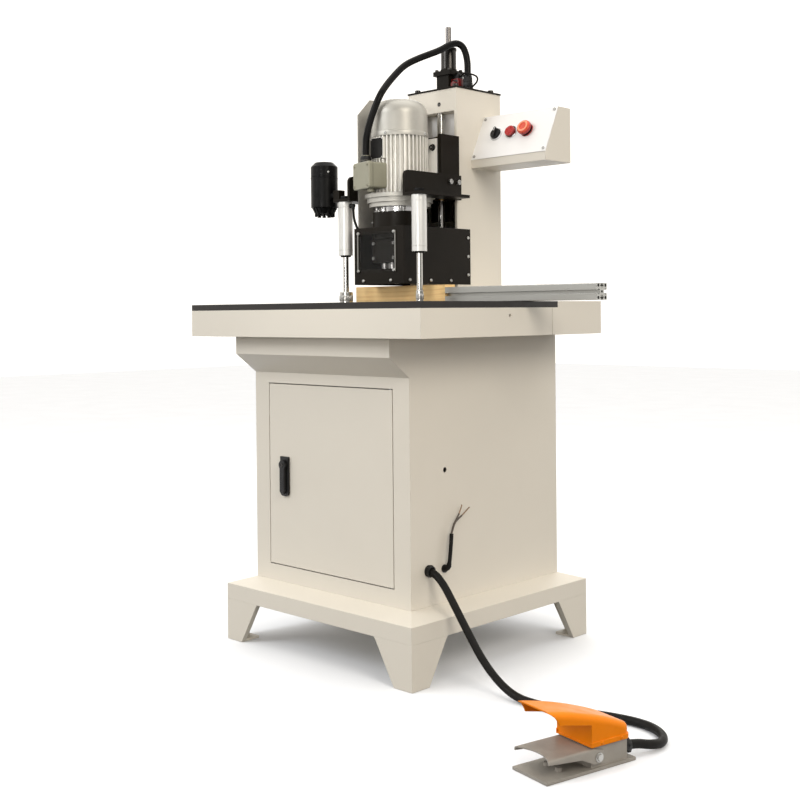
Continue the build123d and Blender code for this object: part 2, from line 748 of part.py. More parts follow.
with BuildPart() as table_deck:
    with BuildSketch(sideways(-deck_side)):
        span(TABLE_FRONT + APRON_SHEET, top_rear + APRON_SHEET, deck_underside, top_underside)
        span(top_rear, top_rear + APRON_SHEET, deck_underside, TABLE_HEIGHT)
        span(top_rear, TABLE_REAR - APRON_SHEET, TABLE_HEIGHT - APRON_SHEET, TABLE_HEIGHT)
    extrude(amount=2 * deck_side)
    with BuildSketch(level(top_underside)):
        with Locations(*((x, fence_front + FENCE_SIDE / 2) for x in RAIL_BOLTS_X)):
            Circle(BOLT_RADIUS + HOLE_CLEARANCE)
        with Locations((0, fence_front + FENCE_SIDE / 2)):
            with GridLocations(2 * BLOCK_BOLT_X, 0, 2, 1):
                Circle(BOLT_RADIUS + HOLE_CLEARANCE)
    extrude(amount=-APRON_SHEET, mode=Mode.SUBTRACT)
table_deck.part.label = "table_deck"
export_step(table_deck.part, "parts/table_deck.step")

with BuildPart() as table_top:
    with BuildSketch(level(top_underside)):
        span(-table_side, table_side, TABLE_FRONT, top_rear)
        with Locations(*((x, fence_front + FENCE_SIDE / 2) for x in RAIL_BOLTS_X)):
            Circle(BOLT_RADIUS + HOLE_CLEARANCE, mode=Mode.SUBTRACT)
        with Locations((0, fence_front + FENCE_SIDE / 2)):
            with GridLocations(2 * BLOCK_BOLT_X, 0, 2, 1):
                Circle(BOLT_RADIUS + HOLE_CLEARANCE, mode=Mode.SUBTRACT)
    extrude(amount=TOP_THICKNESS)
    chamfer(table_top.faces().sort_by(Axis.Z)[-1].outer_wire().edges(), TOP_CHAMFER)
table_top.part.label = "table_top"
export_step(table_top.part, "parts/table_top.step")


# Fence: slotted rail on the right, wooden backing block under the head
with BuildPart() as fence_rail:
    with BuildSketch(sideways(fence_left)):
        with Locations((fence_front + FENCE_SIDE / 2, TABLE_HEIGHT + FENCE_SIDE / 2)):
            RectangleRounded(FENCE_SIDE, FENCE_SIDE, FENCE_LIP / 3)
            Circle(FENCE_CENTRE_BORE / 2, mode=Mode.SUBTRACT)
            with GridLocations(2 * FENCE_CORNER, 2 * FENCE_CORNER, 2, 2):
                Circle(FENCE_CORNER_BORE / 2, mode=Mode.SUBTRACT)
            with PolarLocations((FENCE_SIDE - FENCE_LIP) / 2, 4):
                Rectangle(FENCE_LIP, FENCE_SLOT, mode=Mode.SUBTRACT)
            with PolarLocations(FENCE_SIDE / 2 - FENCE_LIP - FENCE_CAVITY_DEPTH / 2, 4):
                Trapezoid(
                    FENCE_CAVITY,
                    FENCE_CAVITY_DEPTH,
                    60,
                    rotation=90,
                    mode=Mode.SUBTRACT,
                )
    extrude(amount=FENCE_RIGHT - fence_left)
fence_rail.part.label = "fence_rail"
export_step(fence_rail.part, "parts/fence_rail.step")

with BuildPart() as backing_block:
    with BuildSketch(level(TABLE_HEIGHT)):
        span(-fence_left, fence_left, fence_front, fence_rear)
    extrude(amount=BLOCK_HEIGHT)
    with Locations(Plane((0, fence_front + FENCE_SIDE / 2, block_top))):
        with GridLocations(2 * BLOCK_BOLT_X, 0, 2, 1):
            CounterBoreHole(
                BOLT_RADIUS + HOLE_CLEARANCE, HEAD_RADIUS + 2 * HOLE_CLEARANCE, BLOCK_BORE_DEPTH
            )
backing_block.part.label = "backing_block"
export_step(backing_block.part, "parts/backing_block.step")


# Column: channel with an open upper front, a solid top block, a panel behind the guide rods
# and a shelf for their lower ends
top_block_bottom = COLUMN_TOP - TOP_BLOCK
shelf_bottom = SLOT_BOTTOM - ROD_SHELF
carriage_top = CARRIAGE_BOTTOM + CARRIAGE_HEIGHT
web_bottom = carriage_top + SLIDE_GAP
inner_side = column_side - COLUMN_WALL / 2
with BuildPart() as column:
    with BuildSketch(level(TABLE_HEIGHT)):
        span(-column_side, column_side, column_front, TABLE_REAR)
    extrude(amount=COLUMN_TOP - TABLE_HEIGHT)
    with BuildSketch(level(TABLE_HEIGHT + COLUMN_FLOOR)):
        span(
            COLUMN_WALL - column_side,
            column_side - COLUMN_WALL,
            column_front + COLUMN_WALL,
            TABLE_REAR - COLUMN_WALL,
        )
    extrude(amount=top_block_bottom - TABLE_HEIGHT - COLUMN_FLOOR, mode=Mode.SUBTRACT)
    with BuildSketch(facing(column_front)):
        span(COLUMN_WALL - column_side, column_side - COLUMN_WALL, SLOT_BOTTOM, top_block_bottom)
    extrude(amount=-COLUMN_WALL, mode=Mode.SUBTRACT)
    with BuildSketch(level(shelf_bottom)):
        span(-inner_side, inner_side, column_front, rod_y + ROD_SHELF_DEPTH / 2)
    extrude(amount=ROD_SHELF)
    with BuildSketch(level(web_bottom)):
        span(-inner_side, inner_side, web_front, web_front + WEB_SHEET)
    extrude(amount=top_block_bottom - web_bottom)
    with BuildSketch(level(shelf_bottom)):
        with Locations(*rod_places):
            Circle(ROD_RADIUS)
    extrude(amount=top_block_bottom + ROD_SOCKET - shelf_bottom, mode=Mode.SUBTRACT)
    with BuildSketch(level(top_block_bottom)):
        with Locations((0, feed_y)):
            Circle(FEED_ROD + HOLE_CLEARANCE)
    extrude(amount=TOP_BLOCK, mode=Mode.SUBTRACT)
    with BuildSketch(level(COLUMN_TOP)):
        with Locations((0, (column_front + TABLE_REAR) / 2)):
            with GridLocations(2 * CAP_BOLT_X, COLUMN_DEPTH - 2 * CAP_BOLT_INSET, 2, 2):
                Circle(BOLT_RADIUS)
    extrude(amount=CAP_SHEET - CAP_BOLT_LENGTH, mode=Mode.SUBTRACT)
    with BuildSketch(facing(column_front)):
        with Locations((SET_SCREW_X, COLUMN_TOP - SET_SCREW_DROP)):
            Circle(SET_SCREW_RADIUS)
    extrude(amount=ROD_RADIUS - ROD_SETBACK, mode=Mode.SUBTRACT)
column.part.label = "column"
export_step(column.part, "parts/column.step")

with BuildPart() as column_cap:
    with BuildSketch(level(COLUMN_TOP)):
        with Locations((0, (column_front + TABLE_REAR) / 2)):
            Rectangle(COLUMN_WIDTH + 2 * CAP_OVERHANG, COLUMN_DEPTH + 2 * CAP_OVERHANG)
            with GridLocations(2 * CAP_BOLT_X, COLUMN_DEPTH - 2 * CAP_BOLT_INSET, 2, 2):
                Circle(BOLT_RADIUS, mode=Mode.SUBTRACT)
        with Locations((0, feed_y)):
            Circle(FEED_ROD + HOLE_CLEARANCE, mode=Mode.SUBTRACT)
    extrude(amount=CAP_SHEET)
column_cap.part.label = "column_cap"
export_step(column_cap.part, "parts/column_cap.step")

with BuildPart() as guide_rods:
    with BuildSketch(level(shelf_bottom)):
        with Locations(*rod_places):
            Circle(ROD_RADIUS)
    extrude(amount=top_block_bottom + ROD_SOCKET - shelf_bottom)
guide_rods.part.label = "guide_rods"
export_step(guide_rods.part, "parts/guide_rods.step")


# Feed cylinder on the cap: block with flange, barrel, valve, and the piston that carries the head
feed_block_top = cap_top + FEED_BLOCK_HEIGHT
feed_flange_top = feed_block_top + FEED_FLANGE_HEIGHT
barrel_top = feed_flange_top + FEED_BARREL_HEIGHT
piston_top = barrel_top - FEED_HEAD_WALL - SLIDE_GAP
with BuildPart() as feed_block:
    with BuildSketch(level(cap_top)):
        with Locations((0, feed_y)):
            Rectangle(FEED_BLOCK_WIDTH, FEED_BLOCK_DEPTH)
    extrude(amount=FEED_BLOCK_HEIGHT)
    with BuildSketch(level(feed_block_top)):
        with Locations((0, feed_y)):
            Rectangle(FEED_FLANGE, FEED_FLANGE)
    extrude(amount=FEED_FLANGE_HEIGHT)
    with BuildSketch(level(cap_top)):
        with Locations((0, feed_y)):
            Circle(FEED_ROD + RUNNING)
    extrude(amount=feed_flange_top - cap_top, mode=Mode.SUBTRACT)
    with BuildSketch(level(feed_flange_top)):
        with Locations((0, feed_y)):
            Circle(FEED_BORE)
    extrude(amount=-FEED_SUMP, mode=Mode.SUBTRACT)
feed_block.part.label = "feed_block"
export_step(feed_block.part, "parts/feed_block.step")

with BuildPart() as feed_barrel:
    with BuildSketch(level(feed_flange_top)):
        with Locations((0, feed_y)):
            Circle(FEED_BARREL_RADIUS)
    extrude(amount=FEED_BARREL_HEIGHT)
    with BuildSketch(level(feed_flange_top)):
        with Locations((0, feed_y)):
            Circle(FEED_BORE)
    extrude(amount=FEED_BARREL_HEIGHT - FEED_HEAD_WALL, mode=Mode.SUBTRACT)
    with BuildSketch(level(barrel_top)):
        with Locations((0, feed_y)):
            Circle(FEED_ROD + RUNNING)
    extrude(amount=-FEED_HEAD_WALL, mode=Mode.SUBTRACT)
    chamfer(feed_barrel.faces().sort_by(Axis.Z)[-1].outer_wire().edges(), TOP_CHAMFER)
feed_barrel.part.label = "feed_barrel"
export_step(feed_barrel.part, "parts/feed_barrel.step")

with BuildPart() as feed_valve:
    with BuildSketch(sideways(FEED_BLOCK_WIDTH / 2)):
        with Locations((feed_y, cap_top + VALVE_HEIGHT / 2)):
            Rectangle(VALVE_DEPTH, VALVE_HEIGHT)
    extrude(amount=VALVE_WIDTH)
    with BuildSketch(facing(feed_y - VALVE_DEPTH / 2)):
        with Locations((FEED_BLOCK_WIDTH / 2 + VALVE_WIDTH / 2, cap_top + VALVE_HEIGHT / 2)):
            Circle(VALVE_COIL)
    extrude(amount=VALVE_COIL_LENGTH)
feed_valve.part.label = "feed_valve"
export_step(feed_valve.part, "parts/feed_valve.step")

with BuildPart() as feed_piston:
    with BuildSketch(level(carriage_top)):
        with Locations((0, feed_y)):
            Circle(FEED_ROD)
    extrude(amount=FEED_ROD_TOP - carriage_top)
    chamfer(feed_piston.faces().sort_by(Axis.Z)[-1].edges(), TOP_CHAMFER)
    with BuildSketch(level(piston_top)):
        with Locations((0, feed_y)):
            Circle(FEED_BORE - RUNNING)
    extrude(amount=-PISTON_HEIGHT)
feed_piston.part.label = "feed_piston"
export_step(feed_piston.part, "parts/feed_piston.step")


# Guard round the drilling space, open above and below, with a clear window
guard_side = column_side + GUARD_SHEET
window_right = WINDOW_LEFT + WINDOW_WIDTH
window_top = WINDOW_BOTTOM + WINDOW_HEIGHT
window_face = GUARD_FRONT - WINDOW_SHEET
window_screws = [
    (x, z)
    for x in (WINDOW_LEFT + WINDOW_LAP / 2, window_right - WINDOW_LAP / 2)
    for z in (WINDOW_BOTTOM + WINDOW_LAP / 2, window_top - WINDOW_LAP / 2)
]
guard_front_screws = [(x, GUARD_BOTTOM + GUARD_FOOT_SCREW) for x in GUARD_FRONT_SCREWS]
guard_side_screws = [(y, GUARD_BOTTOM + GUARD_FOOT_SCREW) for y in GUARD_SIDE_SCREWS]
guard_rear_screws = [
    (GUARD_REAR - GUARD_REAR_SCREW_INSET, GUARD_BOTTOM + rise) for rise in GUARD_REAR_SCREWS
]
with BuildPart() as guard_shell:
    with BuildSketch(level(GUARD_BOTTOM)):
        span(-guard_side, guard_side, GUARD_FRONT, GUARD_REAR)
        span(-column_side, column_side, GUARD_FRONT + GUARD_SHEET, GUARD_REAR, mode=Mode.SUBTRACT)
    extrude(amount=GUARD_HEIGHT)
    with BuildSketch(facing(GUARD_FRONT)):
        span(
            WINDOW_LEFT + WINDOW_LAP,
            window_right - WINDOW_LAP,
            WINDOW_BOTTOM + WINDOW_LAP,
            window_top - WINDOW_LAP,
        )
        with Locations(*window_screws):
            Circle(SHANK_RADIUS)
        with Locations(*guard_front_screws):
            Circle(SHANK_RADIUS)
    extrude(amount=-GUARD_SHEET, mode=Mode.SUBTRACT)
    for edge, inward in ((guard_side, -1), (-guard_side, 1)):
        with BuildSketch(sideways(edge)):
            with Locations(*guard_side_screws, *guard_rear_screws):
                Circle(SHANK_RADIUS)
        extrude(amount=inward * GUARD_SHEET, mode=Mode.SUBTRACT)
guard_shell.part.label = "guard_shell"
export_step(guard_shell.part, "parts/guard_shell.step")

with BuildPart() as guard_window:
    with BuildSketch(facing(GUARD_FRONT)):
        span(WINDOW_LEFT, window_right, WINDOW_BOTTOM, window_top)
        with Locations(*window_screws):
            Circle(SHANK_RADIUS, mode=Mode.SUBTRACT)
    extrude(amount=WINDOW_SHEET)
guard_window.part.label = "guard_window"
export_step(guard_window.part, "parts/guard_window.step")


# Control box on the right of the column, with a sloping panel
panel_bottom = CONTROL_BOTTOM + CONTROL_LIP
panel_rise = CONTROL_TOP - panel_bottom
panel_length = hypot(CONTROL_LEAN, panel_rise)
panel_plane = Plane(
    origin=(column_side, CONTROL_FRONT, panel_bottom),
    x_dir=(1, 0, 0),
    z_dir=(0, -panel_rise, CONTROL_LEAN),
)
panel_face = panel_plane.offset(CONTROL_SHEET)
switches = [(x - column_side, SWITCH_HEIGHT) for x in (SELECTOR_X, BUTTON_X, STOP_X)]
panel_screws = [
    (x, y)
    for x in (PANEL_SCREW_INSET, CONTROL_WIDTH - PANEL_SCREW_INSET)
    for y in (PANEL_SCREW_INSET, panel_length - PANEL_SCREW_INSET)
]
with BuildPart() as control_box:
    with BuildSketch(sideways(column_side)):
        outline(
            (CONTROL_FRONT, CONTROL_BOTTOM),
            (CONTROL_REAR, CONTROL_BOTTOM),
            (CONTROL_REAR, CONTROL_TOP),
            (CONTROL_FRONT + CONTROL_LEAN, CONTROL_TOP),
            (CONTROL_FRONT, panel_bottom),
        )
    extrude(amount=CONTROL_WIDTH)
    offset(
        amount=-CONTROL_SHEET,
        openings=control_box.faces().filter_by(panel_plane).sort_by(Axis.Y)[0],
        kind=Kind.INTERSECTION,
    )
control_box.part.label = "control_box"
export_step(control_box.part, "parts/control_box.step")

with BuildPart() as control_panel:
    with BuildSketch(panel_plane):
        span(0, CONTROL_WIDTH, 0, panel_length)
        with Locations(*switches):
            Circle(SWITCH_BARREL, mode=Mode.SUBTRACT)
        with Locations(*panel_screws):
            Circle(SHANK_RADIUS, mode=Mode.SUBTRACT)
    extrude(amount=CONTROL_SHEET)
control_panel.part.label = "control_panel"
export_step(control_panel.part, "parts/control_panel.step")

with BuildPart() as switch_bodies:
    with BuildSketch(panel_face):
        with Locations(*switches):
            Circle(BEZEL_RADIUS)
    extrude(amount=BEZEL_HEIGHT)
    with BuildSketch(panel_face):
        with Locations(*switches):
            Circle(SWITCH_BARREL)
    extrude(amount=-SWITCH_STEM)
    with BuildSketch(panel_plane):
        with Locations(*switches):
            Rectangle(SWITCH_BLOCK, SWITCH_BLOCK)
    extrude(amount=-SWITCH_BLOCK_DEPTH)
    with BuildSketch(panel_face.offset(BEZEL_HEIGHT)):
        with Locations(*switches):
            Circle(SWITCH_BORE + RUNNING)
    extrude(amount=-(BEZEL_HEIGHT + SWITCH_STEM + STOP_TRAVEL + CONTROL_GAP), mode=Mode.SUBTRACT)
    with BuildSketch(panel_face.offset(BEZEL_HEIGHT)):
        with Locations(switches[1]):
            Circle(BUTTON_RADIUS + CONTROL_GAP)
    extrude(amount=-(BEZEL_HEIGHT - CONTROL_GAP), mode=Mode.SUBTRACT)
switch_bodies.part.label = "switch_bodies"
export_step(switch_bodies.part, "parts/switch_bodies.step")

control_seat = panel_face.offset(BEZEL_HEIGHT + CONTROL_GAP)
with BuildPart() as selector_knob:
    with BuildSketch(control_seat):
        with Locations(switches[0]):
            Circle(KNOB_RADIUS)
    extrude(amount=KNOB_BASE)
    with BuildSketch(control_seat):
        with Locations(switches[0]):
            SlotOverall(KNOB_GRIP_LENGTH, KNOB_GRIP_WIDTH, rotation=90)
    extrude(amount=KNOB_GRIP_HEIGHT)
    with BuildSketch(control_seat):
        with Locations(switches[0]):
            Circle(SWITCH_BORE)
    extrude(amount=-SWITCH_STEM)
selector_knob.part.label = "selector_knob"
export_step(selector_knob.part, "parts/selector_knob.step")

button_seat = panel_face.offset(BUTTON_TRAVEL + 2 * CONTROL_GAP)
with BuildPart() as push_button:
    with BuildSketch(button_seat):
        with Locations(switches[1]):
            Circle(BUTTON_RADIUS)
    extrude(amount=BUTTON_HEIGHT)
    fillet(push_button.edges(), CONTROL_GAP)
    with BuildSketch(button_seat):
        with Locations(switches[1]):
            Circle(SWITCH_BORE)
    extrude(amount=-SWITCH_STEM)
push_button.part.label = "push_button"
export_step(push_button.part, "parts/push_button.step")

stop_seat = panel_face.offset(BEZEL_HEIGHT + STOP_TRAVEL + CONTROL_GAP)
with BuildPart() as emergency_stop:
    with BuildSketch(stop_seat):
        with Locations(switches[2]):
            Circle(STOP_RADIUS)
    extrude(amount=STOP_HEAD)
    fillet(emergency_stop.edges(), STOP_HEAD / 3)
    with BuildSketch(stop_seat):
        with Locations(switches[2]):
            Circle(SWITCH_BORE)
    extrude(amount=-SWITCH_STEM)
emergency_stop.part.label = "emergency_stop"
export_step(emergency_stop.part, "parts/emergency_stop.step")

with BuildPart() as cover_screws:
    for plane, places in (
        (facing(window_face), window_screws),
        (facing(GUARD_FRONT), guard_front_screws),
        (panel_face, panel_screws),
    ):
        with BuildSketch(plane):
            with Locations(*places):
                Circle(SCREW_RADIUS)
        extrude(amount=SCREW_HEIGHT)
        with BuildSketch(plane):
            with Locations(*places):
                Circle(SHANK_RADIUS)
        extrude(amount=-(GUARD_SHEET if places is not window_screws else WINDOW_SHEET + GUARD_SHEET))
    for edge, outward in ((guard_side, 1), (-guard_side, -1)):
        with BuildSketch(sideways(edge)):
            with Locations(*guard_side_screws, *guard_rear_screws):
                Circle(SCREW_RADIUS)
        extrude(amount=outward * SCREW_HEIGHT)
        with BuildSketch(sideways(edge)):
            with Locations(*guard_side_screws, *guard_rear_screws):
                Circle(SHANK_RADIUS)
        extrude(amount=-outward * GUARD_SHEET)


# Clamp brackets welded to the column front, side shield, and the angle arms bolted to them
arm_bolts = [(y, ARM_BOLT_Z) for y in ARM_BOLTS_Y]
bracket_inner = BRACKET_OUTER - BRACKET_WALL
with BuildPart() as clamp_brackets:
    for hand in (-1, 1):
        with BuildSketch(level(BRACKET_BOTTOM)):
            span(hand * bracket_inner, hand * BRACKET_OUTER, BRACKET_FRONT, column_front)
            span(
                hand * (BRACKET_OUTER - BRACKET_FLANGES[hand]),
                hand * BRACKET_OUTER,
                column_front - BRACKET_FLANGE_WALL,
                column_front,
            )
        extrude(amount=BRACKET_HEIGHT)
        with BuildSketch(sideways(hand * BRACKET_OUTER)):
            with Locations(*arm_bolts):
                Circle(BOLT_RADIUS)
        extrude(amount=-hand * BRACKET_WALL, mode=Mode.SUBTRACT)
clamp_brackets.part.label = "clamp_brackets"
export_step(clamp_brackets.part, "parts/clamp_brackets.step")

with BuildPart() as side_shield:
    with BuildSketch(sideways(-BRACKET_OUTER)):
        outline(
            (SHIELD_FRONT, SHIELD_BOTTOM),
            (column_front, SHIELD_BOTTOM),
            (column_front, SHIELD_TOP),
            (SHIELD_FRONT + SHIELD_CUT, SHIELD_TOP),
            (SHIELD_FRONT, SHIELD_TOP - SHIELD_CUT),
        )
        with Locations(*arm_bolts):
            Circle(BOLT_RADIUS + HOLE_CLEARANCE, mode=Mode.SUBTRACT)
    extrude(amount=-SHIELD_SHEET)
side_shield.part.label = "side_shield"
export_step(side_shield.part, "parts/side_shield.step")

arm_seats = {"left": (-1, BRACKET_OUTER + SHIELD_SHEET), "right": (1, BRACKET_OUTER)}
arm_top = ARM_BOTTOM + ARM_HEIGHT
ledge_top = ARM_BOTTOM + ARM_SHEET
for name, (hand, seat) in arm_seats.items():
    with BuildPart() as clamp_arm:
        with BuildSketch(sideways(hand * seat)) as leg:
            span(ARM_FRONT, ARM_REAR, ARM_BOTTOM, arm_top)
            fillet(leg.vertices().group_by(Axis.X)[0].sort_by(Axis.Y)[-1], ARM_CORNER)
            with Locations(*arm_bolts):
                Circle(BOLT_RADIUS + HOLE_CLEARANCE, mode=Mode.SUBTRACT)
        extrude(amount=hand * ARM_SHEET)
        with BuildSketch(level(ARM_BOTTOM)):
            span(hand * seat, hand * (seat + ARM_LEDGE_WIDTH), ARM_FRONT, ARM_LEDGE_REAR)
            with Locations((hand * CLAMP_X, CLAMP_Y)):
                Circle(CLAMP_STUD + HOLE_CLEARANCE, mode=Mode.SUBTRACT)
        extrude(amount=ARM_SHEET)
    clamp_arm.part.label = f"clamp_arm_{name}"
    export_step(clamp_arm.part, f"parts/clamp_arm_{name}.step")


# Clamp cylinders hung under the arms, and the rods with round feet
clamp_bottom = ARM_BOTTOM - CLAMP_LENGTH
clamp_bore_bottom = clamp_bottom + CLAMP_END_WALL
clamp_bore_top = ARM_BOTTOM - CLAMP_END_WALL
with BuildPart() as clamp_cylinders:
    for hand in (-1, 1):
        with BuildSketch(upright(hand * CLAMP_X, CLAMP_Y)):
            outline(
                (CLAMP_ROD + RUNNING, clamp_bottom),
                (CLAMP_RADIUS, clamp_bottom),
                (CLAMP_RADIUS, ARM_BOTTOM),
                (CLAMP_STUD, ARM_BOTTOM),
                (CLAMP_STUD, ledge_top),
                (CLAMP_NUT, ledge_top),
                (CLAMP_NUT, ledge_top + CLAMP_NUT_HEIGHT),
                (0, ledge_top + CLAMP_NUT_HEIGHT),
                (0, clamp_bore_top),
                (CLAMP_BORE, clamp_bore_top),
                (CLAMP_BORE, clamp_bore_bottom),
                (CLAMP_ROD + RUNNING, clamp_bore_bottom),
            )
        revolve(axis=Axis((hand * CLAMP_X, CLAMP_Y, 0), (0, 0, 1)))
clamp_cylinders.part.label = "clamp_cylinders"
export_step(clamp_cylinders.part, "parts/clamp_cylinders.step")

foot_bottom = TABLE_HEIGHT + CLAMP_FOOT_GAP
foot_top = foot_bottom + CLAMP_FOOT_HEIGHT
for name, hand, foot_radius in (("left", -1, LEFT_FOOT_RADIUS), ("right", 1, RIGHT_FOOT_RADIUS)):
    with BuildPart() as clamp_rod:
        with BuildSketch(Plane((hand * CLAMP_X, CLAMP_Y, foot_bottom))):
            Circle(foot_radius)
        extrude(amount=CLAMP_FOOT_HEIGHT)
        fillet(clamp_rod.edges().group_by(Axis.Z)[-1], CLAMP_FOOT_ROUND)
        with BuildSketch(Plane((hand * CLAMP_X, CLAMP_Y, foot_top))):
            Circle(CLAMP_ROD)
        extrude(amount=clamp_bore_bottom + CONTROL_GAP - foot_top)
        with BuildSketch(Plane((hand * CLAMP_X, CLAMP_Y, clamp_bore_bottom + CONTROL_GAP))):
            Circle(CLAMP_BORE - RUNNING)
        extrude(amount=CLAMP_PISTON)
    clamp_rod.part.label = f"clamp_rod_{name}"
    export_step(clamp_rod.part, f"parts/clamp_rod_{name}.step")


# Bolts of the fence, the cap and the arms, the column's set screw and the screws of the covers
fence_line = fence_front + FENCE_SIDE / 2
rail_head_bottom = TABLE_HEIGHT + FENCE_LIP
block_head_bottom = block_top - BLOCK_BORE_DEPTH
with BuildPart() as machine_bolts:
    for x in RAIL_BOLTS_X:
        with BuildSketch(level(deck_underside)):
            with Locations((x, fence_line)):
                Circle(BOLT_RADIUS)
        extrude(amount=rail_head_bottom - deck_underside)
        with BuildSketch(level(rail_head_bottom)):
            with Locations((x, fence_line)):
                Circle(HEAD_RADIUS)
        extrude(amount=FENCE_LIP / 2)
    for x in (-BLOCK_BOLT_X, BLOCK_BOLT_X):
        with BuildSketch(level(deck_underside)):
            with Locations((x, fence_line)):
                Circle(BOLT_RADIUS)
        extrude(amount=block_head_bottom - deck_underside)
        with BuildSketch(level(block_head_bottom)):
            with Locations((x, fence_line)):
                Circle(HEAD_RADIUS)
        extrude(amount=HEAD_HEIGHT)
    with BuildSketch(level(deck_underside)):
        with Locations(*((x, fence_line) for x in (*RAIL_BOLTS_X, -BLOCK_BOLT_X, BLOCK_BOLT_X))):
            RegularPolygon(NUT_RADIUS, 6)
    extrude(amount=-NUT_HEIGHT)
    with BuildSketch(level(cap_top)):
        with Locations((0, (column_front + TABLE_REAR) / 2)):
            with GridLocations(2 * CAP_BOLT_X, COLUMN_DEPTH - 2 * CAP_BOLT_INSET, 2, 2):
                RegularPolygon(NUT_RADIUS, 6)
    extrude(amount=HEAD_HEIGHT)
    with BuildSketch(level(cap_top)):
        with Locations((0, (column_front + TABLE_REAR) / 2)):
            with GridLocations(2 * CAP_BOLT_X, COLUMN_DEPTH - 2 * CAP_BOLT_INSET, 2, 2):
                Circle(BOLT_RADIUS)
    extrude(amount=-CAP_BOLT_LENGTH)
    for hand, seat in arm_seats.values():
        arm_face = hand * (seat + ARM_SHEET)
        with BuildSketch(sideways(arm_face)):
            with Locations(*arm_bolts):
                RegularPolygon(NUT_RADIUS, 6)
        extrude(amount=hand * HEAD_HEIGHT)
        with BuildSketch(sideways(arm_face)):
            with Locations(*arm_bolts):
                Circle(BOLT_RADIUS)
        extrude(amount=-hand * (seat + ARM_SHEET - bracket_inner - CONTROL_GAP))
    with BuildSketch(facing(column_front)):
        with Locations((SET_SCREW_X, COLUMN_TOP - SET_SCREW_DROP)):
            Circle(SET_SCREW_RADIUS)
    extrude(amount=ROD_RADIUS - ROD_SETBACK)
    add(cover_screws.part)
machine_bolts.part.label = "machine_bolts"
export_step(machine_bolts.part, "parts/machine_bolts.step")


# Work lamp on the end of the left arm; it tilts on a pin along X
arm_end = -(BRACKET_OUTER + SHIELD_SHEET + ARM_LEDGE_WIDTH)
boss_face = LAMP_X + LAMP_RADIUS + LAMP_BOSS_LENGTH - LAMP_BOSS / 2
block_face = boss_face + CONTROL_GAP
lamp_taper_top = LAMP_BOTTOM + LAMP_TAPER
lamp_seam = lamp_taper_top + LAMP_BODY
lamp_top = lamp_seam + LAMP_CAP
lamp_axis = Axis((LAMP_X, CLAMP_Y, 0), (0, 0, 1))
with BuildPart() as lamp_bracket:
    with BuildSketch(level(ledge_top)):
        span(block_face, arm_end + LAMP_BLOCK_WIDTH, CLAMP_Y - LAMP_BOSS, CLAMP_Y + LAMP_BOSS)
    extrude(amount=LAMP_BLOCK_HEIGHT)
    with BuildSketch(sideways(block_face)):
        with Locations((CLAMP_Y, LAMP_PIVOT_Z)):
            Circle(LAMP_PIN)
    extrude(amount=-(LAMP_PIN_DEPTH + CONTROL_GAP))
lamp_bracket.part.label = "lamp_bracket"
export_step(lamp_bracket.part, "parts/lamp_bracket.step")

lens_bottom = LAMP_BOTTOM + LENS_RECESS
lens_top = lens_bottom + LENS_THICKNESS
lens_radius = LAMP_RIM_RADIUS - LAMP_WALL
with BuildPart() as lamp_housing:
    with BuildSketch(sideways(boss_face)):
        with Locations((CLAMP_Y, LAMP_PIVOT_Z)):
            Circle(LAMP_BOSS)
    extrude(amount=-(boss_face - LAMP_X))
    with BuildSketch(upright(LAMP_X, CLAMP_Y)):
        outline(
            (0, LAMP_BOTTOM),
            (LAMP_RIM_RADIUS, LAMP_BOTTOM),
            (LAMP_SHOULDER_RADIUS, lamp_taper_top),
            (LAMP_RADIUS, lamp_taper_top),
            (LAMP_RADIUS, lamp_seam),
            (LAMP_RADIUS - LAMP_GROOVE, lamp_seam),
            (LAMP_RADIUS - LAMP_GROOVE, lamp_seam + LAMP_GROOVE),
            (LAMP_RADIUS, lamp_seam + LAMP_GROOVE),
            (LAMP_RADIUS, lamp_top),
            (0, lamp_top),
        )
    revolve(axis=lamp_axis)
    chamfer(lamp_housing.edges().group_by(Axis.Z)[-1], LAMP_CHAMFER)
    with BuildSketch(upright(LAMP_X, CLAMP_Y)):
        outline(
            (0, LAMP_BOTTOM),
            (lens_radius, LAMP_BOTTOM),
            (lens_radius, lens_top),
            (LAMP_RIM_RADIUS - 2 * LAMP_WALL, lens_top),
            (LAMP_BOSS, lamp_taper_top),
            (0, lamp_taper_top),
        )
    revolve(axis=lamp_axis, mode=Mode.SUBTRACT)
    with BuildSketch(sideways(boss_face)):
        with Locations((CLAMP_Y, LAMP_PIVOT_Z)):
            Circle(LAMP_PIN + RUNNING)
    extrude(amount=-(LAMP_PIN_DEPTH + 2 * CONTROL_GAP), mode=Mode.SUBTRACT)
lamp_housing.part.label = "lamp_housing"
export_step(lamp_housing.part, "parts/lamp_housing.step")

with BuildPart() as lamp_lens:
    with BuildSketch(Plane((LAMP_X, CLAMP_Y, lens_bottom))):
        Circle(lens_radius)
    extrude(amount=LENS_THICKNESS)
lamp_lens.part.label = "lamp_lens"
export_step(lamp_lens.part, "parts/lamp_lens.step")


